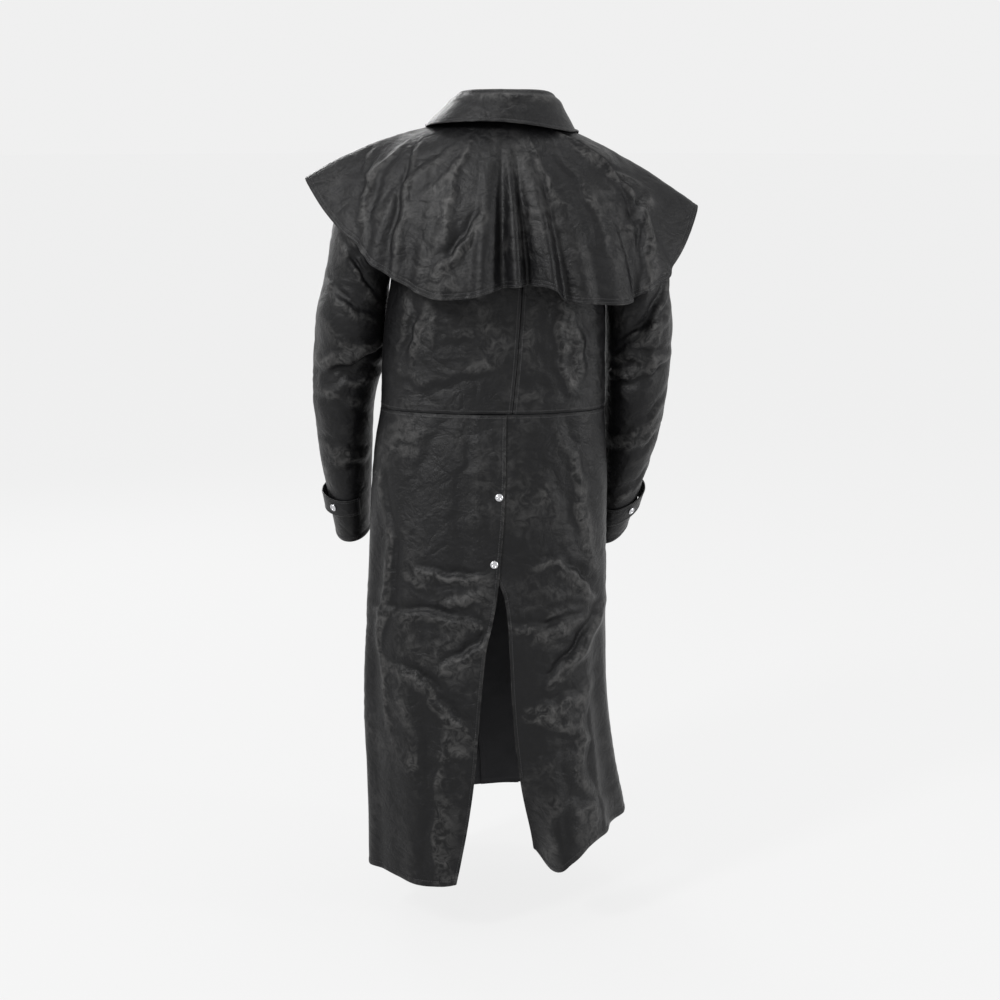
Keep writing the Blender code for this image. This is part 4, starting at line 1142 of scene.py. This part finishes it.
def cuff_tab_panel(side):
    """The strap round the cuff."""
    start, end = CUFF_TAB_BACK_END, CUFF_TAB_FRONT_END
    rows = []
    for level in edge_steps(CUFF_TAB_WIDTH, True, True, 0.003):
        row = []
        for t in edge_steps(0.17, True, True, 0.004):
            degrees = mix(start, end, t)
            slack = CUFF_TAB_SLACK * hump(degrees, CUFF_TAB_SLACK_ANGLE, 62.0)
            along = CUFF_TAB_ALONG[side] + (level - 0.5) * CUFF_TAB_WIDTH / SLEEVE_LENGTH
            row.append(sleeve_point(side, along, degrees, CUFF_TAB_LIFT + slack))
        rows.append(row)
    inset = (TAB_INSET,)
    hems = (("first", inset), ("last", inset), ("left", inset), ("right", inset))
    panel = Panel(side_name("cuff_tab", side), rows, outward=side, hems=hems)
    panel.crease(waver(panel.points) * 0.4)
    return panel, (), tuple((edge, TAB_INSET) for edge, _ in hems)


def cape_panel():
    """The shoulder cape, one sheet from front edge to front edge."""
    width, length_down = SPANS["cape"]
    columns = [mix(-CAPE_END_ANGLE, CAPE_END_ANGLE, t)
               for t in edge_steps(width, True, True, BACK_PITCH)]
    levels = edge_steps(length_down, False, True, BACK_PITCH)
    rows = [[cape_point(d, down) for d in columns] for down in levels]
    hems = (("last", CAPE_INSETS), ("left", (STITCH_INSET,)), ("right", (STITCH_INSET,)))
    panel = Panel("cape", rows, hems=hems)
    degrees, down = np.meshgrid(np.array(columns), np.array(levels))
    creases = flat_creases(CAPE_CREASES, CAPE_DEGREE, CAPE_LENGTH)
    fade = np.clip(down / 0.3, 0.0, 1.0)
    height = crease_push(degrees * CAPE_DEGREE, down * CAPE_LENGTH, creases)
    panel.crease((height + waver(panel.points)) * fade * depth_of_creases())
    lines = [("last", inset) for inset in CAPE_INSETS]
    return panel, (), (*lines, ("left", STITCH_INSET), ("right", STITCH_INSET))


def collar_columns():
    return [mix(-COLLAR_END_ANGLE, COLLAR_END_ANGLE, t) for t in edge_steps(0.50, True, True)]


def collar_fall_panel():
    """The collar's fall, from its fold to its lower edge."""
    last = len(COLLAR_ROWS) - 1
    rows = []
    levels = edge_steps(0.070, False, True, 0.0022)
    for level in levels:
        at = level * last
        values = [read(COLLAR_KEYS, column, at) for column in CollarRow._fields]
        rows.append([collar_point(d, CollarRow(*values)) for d in collar_columns()])
    hems = (("last", (STITCH_INSET,)), ("left", (STITCH_INSET,)), ("right", (STITCH_INSET,)))
    panel = Panel("collar_fall", rows, hems=hems)
    level = np.array(levels)[:, None]
    roll = 0.0016 * np.exp(-((level - 0.50) / 0.07) ** 2)
    panel.crease(roll - 0.0010 * np.exp(-((level - 0.40) / 0.06) ** 2))
    panel.crease(waver(panel.points) * 0.55)
    return panel, (), tuple((edge, STITCH_INSET) for edge, _ in hems)


def collar_stand_panel():
    """The upright band inside the fall."""
    fold = COLLAR_ROWS[0]
    head = fold._replace(out=fold.out + STAND_SET_OUT, up=fold.up - STAND_SET_DOWN)
    rows = []
    for t in edge_steps(0.045, False, False, 0.004):
        row = []
        for degrees in collar_columns():
            foot = neck_point(degrees, STAND_OUT, STAND_RISE)
            row.append(foot.lerp(collar_point(degrees, head), t))
        rows.append(row)
    panel = Panel("collar_stand", rows, outward=-1)
    panel.crease(waver(panel.points) * 0.3)
    return panel, (), (("left", STITCH_INSET), ("right", STITCH_INSET))


# Materials
class Graph:
    """The shader nodes of a new material."""

    def __init__(self, name):
        self.material = bpy.data.materials.new(name)
        self.material.use_nodes = True
        self.nodes = self.material.node_tree.nodes
        self.shader = self.nodes["Principled BSDF"]

    def feed(self, socket, value):
        """Gives a socket its value, or links another node's output to it."""
        if isinstance(value, bpy.types.NodeSocket):
            self.material.node_tree.links.new(value, socket)
        else:
            socket.default_value = value

    def node(self, kind, output, settings=None, **inputs):
        """One output of a new node, with the node's settings and its inputs by name."""
        node = self.nodes.new("ShaderNode" + kind)
        for name, value in (settings or {}).items():
            setattr(node, name, value)
        for name, value in inputs.items():
            self.feed(node.inputs[name], value)
        return node.outputs[output]

    def noise(self, scale, detail, roughness=0.5, distortion=0.0, stretch=None):
        """Noise in the object's own space."""
        where = self.node("TexCoord", "Object")
        if stretch:
            where = self.node("Mapping", "Vector", Vector=where, Scale=stretch)
        return self.node("TexNoise", "Fac", Vector=where, Scale=scale, Detail=detail,
                         Roughness=roughness, Distortion=distortion)

    def ramp(self, value, low, high):
        """A grey that runs from black to white as the value goes from low to high."""
        node = self.nodes.new("ShaderNodeValToRGB")
        for point, place, grey in zip(node.color_ramp.elements, (low, high), (0.0, 1.0)):
            point.position = place
            point.color = (grey, grey, grey, 1.0)
        self.feed(node.inputs["Fac"], value)
        return node.outputs["Color"]

    def calc(self, operation, first, second=0.0):
        node = self.nodes.new("ShaderNodeMath")
        node.operation = operation
        self.feed(node.inputs[0], first)
        self.feed(node.inputs[1], second)
        return node.outputs[0]

    def scaled(self, value, gain, base):
        return self.calc("ADD", self.calc("MULTIPLY", value, gain), base)

    def ridge(self, value):
        """How far the value is from a half: sharp lines where it crosses."""
        return self.calc("ABSOLUTE", self.calc("SUBTRACT", value, 0.5))

    def blend(self, share, first, second):
        """Two colours mixed by a share."""
        node = self.nodes.new("ShaderNodeMix")
        node.data_type = "RGBA"
        self.feed(node.inputs[0], share)
        self.feed(node.inputs[6], first)
        self.feed(node.inputs[7], second)
        return node.outputs[2]

    def bump(self, height, strength, distance, normal=None):
        inputs = {"Normal": normal} if normal else {}
        return self.node("Bump", "Normal", Height=height, Strength=strength,
                         Distance=distance, **inputs)

    def surface(self, **inputs):
        """Feeds the shader's sockets, named with _ for a space, and gives the material."""
        for name, value in inputs.items():
            self.feed(self.shader.inputs[name.replace("_", " ")], value)
        return self.material


def opaque(rgb, gain=1.0):
    """A colour for a socket, made paler by the gain."""
    return (*(min(1.0, c * gain) for c in rgb), 1.0)


def leather_material(colours):
    """Black leather: pebbled grain, soft wrinkles, grey mottling, scuffed edges and painted ridge
    sheen.
    """
    graph = Graph("black leather")
    broad = graph.noise(9.0, 5.0, 0.6, 0.8)
    mottle = graph.noise(55.0, 6.0, 0.65, 1.2)
    folds = graph.ridge(graph.noise(20.0, 3.0, 0.5, 0.4, (1.0, 1.0, 1.25)))
    wrinkles = graph.ridge(graph.noise(85.0, 3.0, 0.5, 0.5, (1.0, 1.0, 1.2)))
    where = graph.node("TexCoord", "Object")
    pebble = graph.node("TexVoronoi", "Distance", {"feature": "DISTANCE_TO_EDGE"},
                        Vector=where, Scale=780.0, Randomness=1.0)
    wear = graph.node("Attribute", "Fac", {"attribute_name": "wear"})

    fleck = graph.ramp(mottle, 0.42, 0.72)
    greyed = graph.calc("MULTIPLY", graph.ramp(broad, 0.38, 0.68), fleck)
    # Paler colour from that share: painted sheen on the crease ridges, real scuffing at hems and
    # seams
    rubbed_and_sheen = graph.calc("MULTIPLY", graph.ramp(wear, 0.55, 0.95), fleck)
    tone = graph.blend(greyed, opaque(colours.leather), opaque(colours.leather, 2.2))
    tone = graph.blend(rubbed_and_sheen, tone, opaque(colours.worn))
    rough = graph.scaled(broad, 0.14, graph.scaled(mottle, 0.22, 0.23))

    normal = graph.bump(folds, 0.42, 0.016)
    normal = graph.bump(wrinkles, 0.35, 0.0030, normal)
    normal = graph.bump(graph.ramp(pebble, 0.0, 0.22), 0.45, 0.00022, normal)
    return graph.surface(Base_Color=tone, Roughness=rough, Normal=normal, Specular_IOR_Level=0.20)


def inside_material(colours):
    """The plain inner face: brushed black cloth with a few pale fibres."""
    graph = Graph("brushed inside")
    specks = graph.noise(900.0, 2.0, 0.7)
    cloud = graph.noise(26.0, 4.0)
    fibres = graph.calc("MULTIPLY", graph.ramp(specks, 0.62, 0.74), cloud)
    tone = graph.blend(fibres, opaque(colours.inside), opaque(colours.inside, 6.0))
    return graph.surface(Base_Color=tone, Roughness=graph.scaled(cloud, 0.15, 0.80),
                         Normal=graph.bump(specks, 0.4, 0.0004))


def thread_material(colours):
    """Waxed black thread, twisted along each stitch."""
    graph = Graph("black thread")
    twist = graph.noise(1400.0, 2.0)
    tone = graph.blend(twist, opaque(colours.thread), opaque(colours.thread, 1.8))
    return graph.surface(Base_Color=tone, Roughness=graph.scaled(twist, 0.2, 0.42),
                         Normal=graph.bump(twist, 0.5, 0.0002))


def nickel_material(colours):
    """Nickel plate with fine handling marks and grime in its hollows."""
    graph = Graph("nickel plate")
    marks = graph.noise(700.0, 5.0, 0.7)
    haze = graph.ramp(marks, 0.45, 0.75)
    tone = graph.blend(haze, opaque(colours.metal), opaque(colours.metal, 0.55))
    return graph.surface(Base_Color=tone, Roughness=graph.scaled(marks, 0.22, 0.14),
                         Normal=graph.bump(marks, 0.15, 0.0001), Metallic=1.0)


def backdrop_material(colours):
    """A matt floor that glows as bright as the world behind it."""
    graph = Graph("pale backdrop")
    cloud = graph.noise(0.7, 2.0)
    tone = graph.blend(cloud, opaque(colours.floor), opaque(colours.floor, 0.98))
    return graph.surface(Base_Color=tone, Roughness=0.9, Specular_IOR_Level=0.0,
                         Emission_Color=opaque(WORLD_COLOUR), Emission_Strength=BACKDROP_GLOW)


MAKERS = {
    "black leather": leather_material,
    "brushed inside": inside_material,
    "black thread": thread_material,
    "nickel plate": nickel_material,
    "pale backdrop": backdrop_material,
}


def material(name):
    known = bpy.data.materials.get(name)
    return known or MAKERS[name](bpy.context.scene.coat_colours)


def depth_of_creases():
    return bpy.context.scene.coat_sizes.crease_depth


def body_creases(panel, at_back):
    """The creases of the back or of the fronts, which die out before the side seams."""
    points = panel.points
    creases = BACK_CREASES if at_back else FRONT_CREASES
    height = crease_push(points[..., 0], points[..., 2], creases)
    inward = (points[..., 1] - BACK_FADE_Y) if at_back else (FRONT_FADE_Y - points[..., 1])
    fade = np.clip(inward / SIDE_FADE, 0.0, 1.0)
    panel.crease(height * fade * fade * (3 - 2 * fade) * depth_of_creases())
    panel.crease(waver(points) * depth_of_creases())


def sew(made):
    """Builds a panel with its stitching, and hides the solid that it stands for."""
    panel, square, rows = made
    sizes = bpy.context.scene.coat_sizes
    panel.finish_edges()
    piece = panel.build(material("black leather"), material("brushed inside"), square)
    thread = stitching("stitching_" + panel.name, [panel.line(*row) for row in rows],
                       sizes, material("black thread"))
    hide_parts(panel.name)
    return piece


def length(name, description, default, low, high):
    """A length that the user may set, in metres."""
    return FloatProperty(name=name, description=description, default=default,
                         min=low, max=high, unit="LENGTH")


def colour(name, description, default):
    """A colour that the user may set."""
    return FloatVectorProperty(name=name, description=description, subtype="COLOR",
                               default=default, min=0.0, max=1.0)


class CoatSizes(bpy.types.PropertyGroup):
    """The sizes of the coat's small details."""

    crease_depth: FloatProperty(
        name="Crease depth", description="Depth of the creases, as a share of a well worn coat's",
        default=1.0, min=0.0, max=2.0, subtype="FACTOR")
    stitch_length: length("Stitch length", "Length of one stitch that shows", 0.0029, 0.001, 0.01)
    stitch_pitch: length("Stitch pitch", "Distance from stitch to stitch", 0.0038, 0.0015, 0.012)
    thread: length("Thread width", "Width of the sewing thread", 0.0009, 0.0003, 0.003)
    snap_radius: length("Snap radius", "Radius of a snap's cap", SNAP_RADIUS, 0.003, 0.015)
    snap_height: length(
        "Snap height", "Height of a snap's cap over the leather", SNAP_HEIGHT, 0.001, 0.006)


class CoatColours(bpy.types.PropertyGroup):
    """The colours of the coat and of the backdrop."""

    leather: colour("Leather", "Colour of the leather", (0.0042, 0.0042, 0.0046))
    # Paler colour for scuffed edges, also used for the painted sheen on the crease ridges
    worn: colour("Worn leather", "Colour of the leather where it is rubbed", (0.055, 0.054, 0.053))
    inside: colour("Inside", "Colour of the coat's inside", (0.011, 0.011, 0.013))
    thread: colour("Thread", "Colour of the sewing thread", (0.016, 0.016, 0.017))
    metal: colour("Snaps", "Colour of the snaps' plate", (0.62, 0.62, 0.64))
    floor: colour("Floor", "Colour of the floor and backdrop", (0.060, 0.060, 0.060))


class COAT_OT_back(bpy.types.Operator):
    """Make the upper back and the back skirt, with their seams and the vent"""

    bl_idname = "coat.back"
    bl_label = "Back"

    def execute(self, context):
        for side in (1, -1):
            sew(back_upper_panel(side))
            sew(back_skirt_panel(side))
        return {"FINISHED"}


class COAT_OT_fronts(bpy.types.Operator):
    """Make the two fronts, the left one lapped over the right"""

    bl_idname = "coat.fronts"
    bl_label = "Fronts"

    def execute(self, context):
        for side in (1, -1):
            sew(front_panel(side))
        return {"FINISHED"}


class COAT_OT_sleeves(bpy.types.Operator):
    """Make the two sleeves"""

    bl_idname = "coat.sleeves"
    bl_label = "Sleeves"

    def execute(self, context):
        for side in (1, -1):
            sew(sleeve_panel(side))
        return {"FINISHED"}


class COAT_OT_cuff_tabs(bpy.types.Operator):
    """Make the straps round the cuffs"""

    bl_idname = "coat.cuff_tabs"
    bl_label = "Cuff straps"

    def execute(self, context):
        for side in (1, -1):
            sew(cuff_tab_panel(side))
        return {"FINISHED"}


class COAT_OT_cape(bpy.types.Operator):
    """Make the shoulder cape with its flutes"""

    bl_idname = "coat.cape"
    bl_label = "Cape"

    def execute(self, context):
        sew(cape_panel())
        return {"FINISHED"}


class COAT_OT_collar(bpy.types.Operator):
    """Make the collar: its stand and its fall"""

    bl_idname = "coat.collar"
    bl_label = "Collar"

    def execute(self, context):
        sew(collar_stand_panel())
        sew(collar_fall_panel())
        return {"FINISHED"}


def snap_cap(sizes, metal):
    """One ring-topped snap cap at the origin, its axis along Z."""
    bpy.ops.object.select_all(action="DESELECT")
    radius, height = sizes.snap_radius, sizes.snap_height
    bpy.ops.mesh.primitive_cylinder_add(vertices=40, radius=radius, depth=height * 0.45,
                                        location=(0.0, 0.0, height * 0.225))
    cap = bpy.context.object
    bpy.ops.object.transform_apply(location=True)
    bpy.ops.object.mode_set(mode="EDIT")
    bpy.ops.mesh.select_all(action="DESELECT")
    shape = bmesh.from_edit_mesh(cap.data)
    for face in shape.faces:
        face.select_set(face.normal.z > 0.9)
    bmesh.update_edit_mesh(cap.data)
    for inset, rise in SNAP_STEPS:
        bpy.ops.mesh.inset(thickness=inset * radius, depth=rise * height)
    bpy.ops.object.mode_set(mode="OBJECT")
    bevel = cap.modifiers.new("rounding", "BEVEL")
    bevel.width = 0.05 * radius
    bevel.segments = 2
    bevel.limit_method = "ANGLE"
    bevel.angle_limit = math.radians(38.0)
    bpy.ops.object.modifier_apply(modifier=bevel.name)
    bpy.ops.object.shade_smooth_by_angle(angle=math.radians(50.0))
    cap.data.materials.clear()
    cap.data.materials.append(metal)
    return cap


def seat_on(tree, start, way):
    """The place that a ray meets, and the surface's normal there."""
    spot, normal, _, _ = tree.ray_cast(start, way)
    if spot is None:
        raise ValueError(f"nothing to sit on at {tuple(start)}")
    return spot, normal


def seat_snap(name, cap, tree, start, way, radius):
    """A copy of the cap, set on the leather that a ray from start meets."""
    spot, _ = seat_on(tree, start, way)
    side = way.orthogonal().normalized()
    other = way.cross(side)
    rim = []
    for n in range(8):
        a = n * math.pi / 4
        beside = start + (side * math.cos(a) + other * math.sin(a)) * radius * 0.9
        rim.append(seat_on(tree, beside, way)[0])
    normal = (rim[2] - rim[6]).cross(rim[4] - rim[0]).normalized()
    if normal.dot(way) > 0:
        normal = -normal
    rise = sum((point - spot).dot(normal) for point in rim + [spot]) / len(rim + [spot])
    mesh = cap.data.copy()
    place = normal.to_track_quat("Z", "Y").to_matrix().to_4x4()
    place.translation = spot + normal * (rise - SNAP_SINK)
    mesh.transform(place)
    piece = bpy.data.objects.new(name, mesh)
    bpy.context.scene.collection.objects.link(piece)
    ride(piece)
    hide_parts(name.replace("cap_", "snap_"))
    return piece


def tree_of(name):
    mesh = bpy.data.objects[name].data
    return BVHTree.FromPolygons([v.co for v in mesh.vertices], [p.vertices for p in mesh.polygons])


class COAT_OT_snaps(bpy.types.Operator):
    """Make the snaps of the front, the vent and the cuff straps"""

    bl_idname = "coat.snaps"
    bl_label = "Snaps"

    def execute(self, context):
        sizes = context.scene.coat_sizes
        cap = snap_cap(sizes, material("nickel plate"))
        radius = sizes.snap_radius
        back = tree_of("coat_back_skirt_left")
        for number, (x, z) in enumerate(VENT_SNAPS, 1):
            start = Vector((x, RAY_START, z))
            seat_snap(f"cap_vent_{number}", cap, back, start, Vector((0, -1, 0)), radius)
        front = tree_of("coat_front_left")
        for number, z in enumerate(FRONT_SNAP_HEIGHTS, 1):
            x = body_point(min(z, UNDERARM_Z), math.pi).x - FRONT_SNAP_IN
            start = Vector((x, -RAY_START, z))
            seat_snap(f"cap_front_{number}", cap, front, start, Vector((0, 1, 0)), radius)
        for side in (1, -1):
            along = CUFF_TAB_ALONG[side]
            centre = sleeve_point(side, along, CUFF_SNAP_ANGLE)
            middle = (sleeve_point(side, along, 0.0) + sleeve_point(side, along, 180.0)) / 2
            out = (centre - middle).normalized()
            strap = tree_of("coat_" + side_name("cuff_tab", side))
            seat_snap(side_name("cap_cuff", side), cap, strap, centre + out * 0.05, -out, radius)
        mesh = cap.data
        bpy.data.objects.remove(cap)
        bpy.data.meshes.remove(mesh)
        return {"FINISHED"}


def area_light(name, place, size, power, target):
    bpy.ops.object.light_add(type="AREA", location=place)
    lamp = bpy.context.object
    lamp.name = name
    lamp.data.shape = "RECTANGLE"
    lamp.data.size, lamp.data.size_y = size
    lamp.data.energy = power
    way = Vector(target) - Vector(place)
    lamp.rotation_euler = way.to_track_quat("-Z", "Y").to_euler()
    return lamp


class COAT_OT_stage(bpy.types.Operator):
    """Make the floor, the lights and the camera"""

    bl_idname = "coat.stage"
    bl_label = "Stage"

    def execute(self, context):
        bpy.ops.object.select_all(action="DESELECT")
        bpy.ops.mesh.primitive_circle_add(vertices=96, radius=FLOOR_RADIUS, fill_type="NGON",
                                          location=(0.0, 0.0, FLOOR_Z))
        floor = context.object
        floor.name = "floor"
        bpy.ops.object.transform_apply(location=True)
        floor.data.materials.append(material("pale backdrop"))
        for name, (place, size, power) in LIGHTS.items():
            area_light(name, place, size, power, CAMERA_TARGET)
        world = bpy.data.worlds.new("studio")
        context.scene.world = world
        world.use_nodes = True
        sky = world.node_tree.nodes["Background"]
        sky.inputs["Color"].default_value = (*WORLD_COLOUR, 1.0)
        sky.inputs["Strength"].default_value = WORLD_STRENGTH
        turn, rise = math.radians(CAMERA_AZIMUTH), math.radians(CAMERA_ELEVATION)
        out = Vector((math.sin(turn), -math.cos(turn), 0.0)) * math.cos(rise)
        back = out + Vector((0.0, 0.0, math.sin(rise)))
        bpy.ops.object.camera_add(location=Vector(CAMERA_TARGET) + back * CAMERA_DISTANCE)
        camera = context.object
        camera.rotation_euler = (-back).to_track_quat("-Z", "Y").to_euler()
        camera.data.lens = CAMERA_LENS
        camera.data.sensor_width = CAMERA_SENSOR
        camera.data.clip_end = CAMERA_CLIP_END
        context.scene.camera = camera
        context.scene.view_settings.view_transform = "Standard"
        return {"FINISHED"}


class COAT_PT_panel(bpy.types.Panel):
    """The coat's sizes, colours and pieces"""

    bl_idname = "COAT_PT_panel"
    bl_label = "Leather duster coat"
    bl_space_type = "VIEW_3D"
    bl_region_type = "UI"
    bl_category = "Coat"

    def draw(self, context):
        layout = self.layout
        for group in (context.scene.coat_sizes, context.scene.coat_colours):
            box = layout.box()
            for name in group.__annotations__:
                box.prop(group, name)
        for operator in OPERATORS:
            layout.operator(operator.bl_idname)


OPERATORS = (
    COAT_OT_back, COAT_OT_fronts, COAT_OT_sleeves, COAT_OT_cuff_tabs,
    COAT_OT_cape, COAT_OT_collar, COAT_OT_snaps, COAT_OT_stage,
)
CLASSES = (CoatSizes, CoatColours, *OPERATORS, COAT_PT_panel)


def register():
    for kind in CLASSES:
        bpy.utils.register_class(kind)
    bpy.types.Scene.coat_sizes = PointerProperty(type=CoatSizes)
    bpy.types.Scene.coat_colours = PointerProperty(type=CoatColours)


def unregister():
    del bpy.types.Scene.coat_colours
    del bpy.types.Scene.coat_sizes
    for kind in reversed(CLASSES):
        bpy.utils.unregister_class(kind)


def main():
    register()
    bpy.ops.coat.back()
    bpy.ops.coat.fronts()
    bpy.ops.coat.sleeves()
    bpy.ops.coat.cuff_tabs()
    bpy.ops.coat.cape()
    bpy.ops.coat.collar()
    bpy.ops.coat.snaps()
    bpy.ops.coat.stage()


if __name__ == "__main__":
    main()
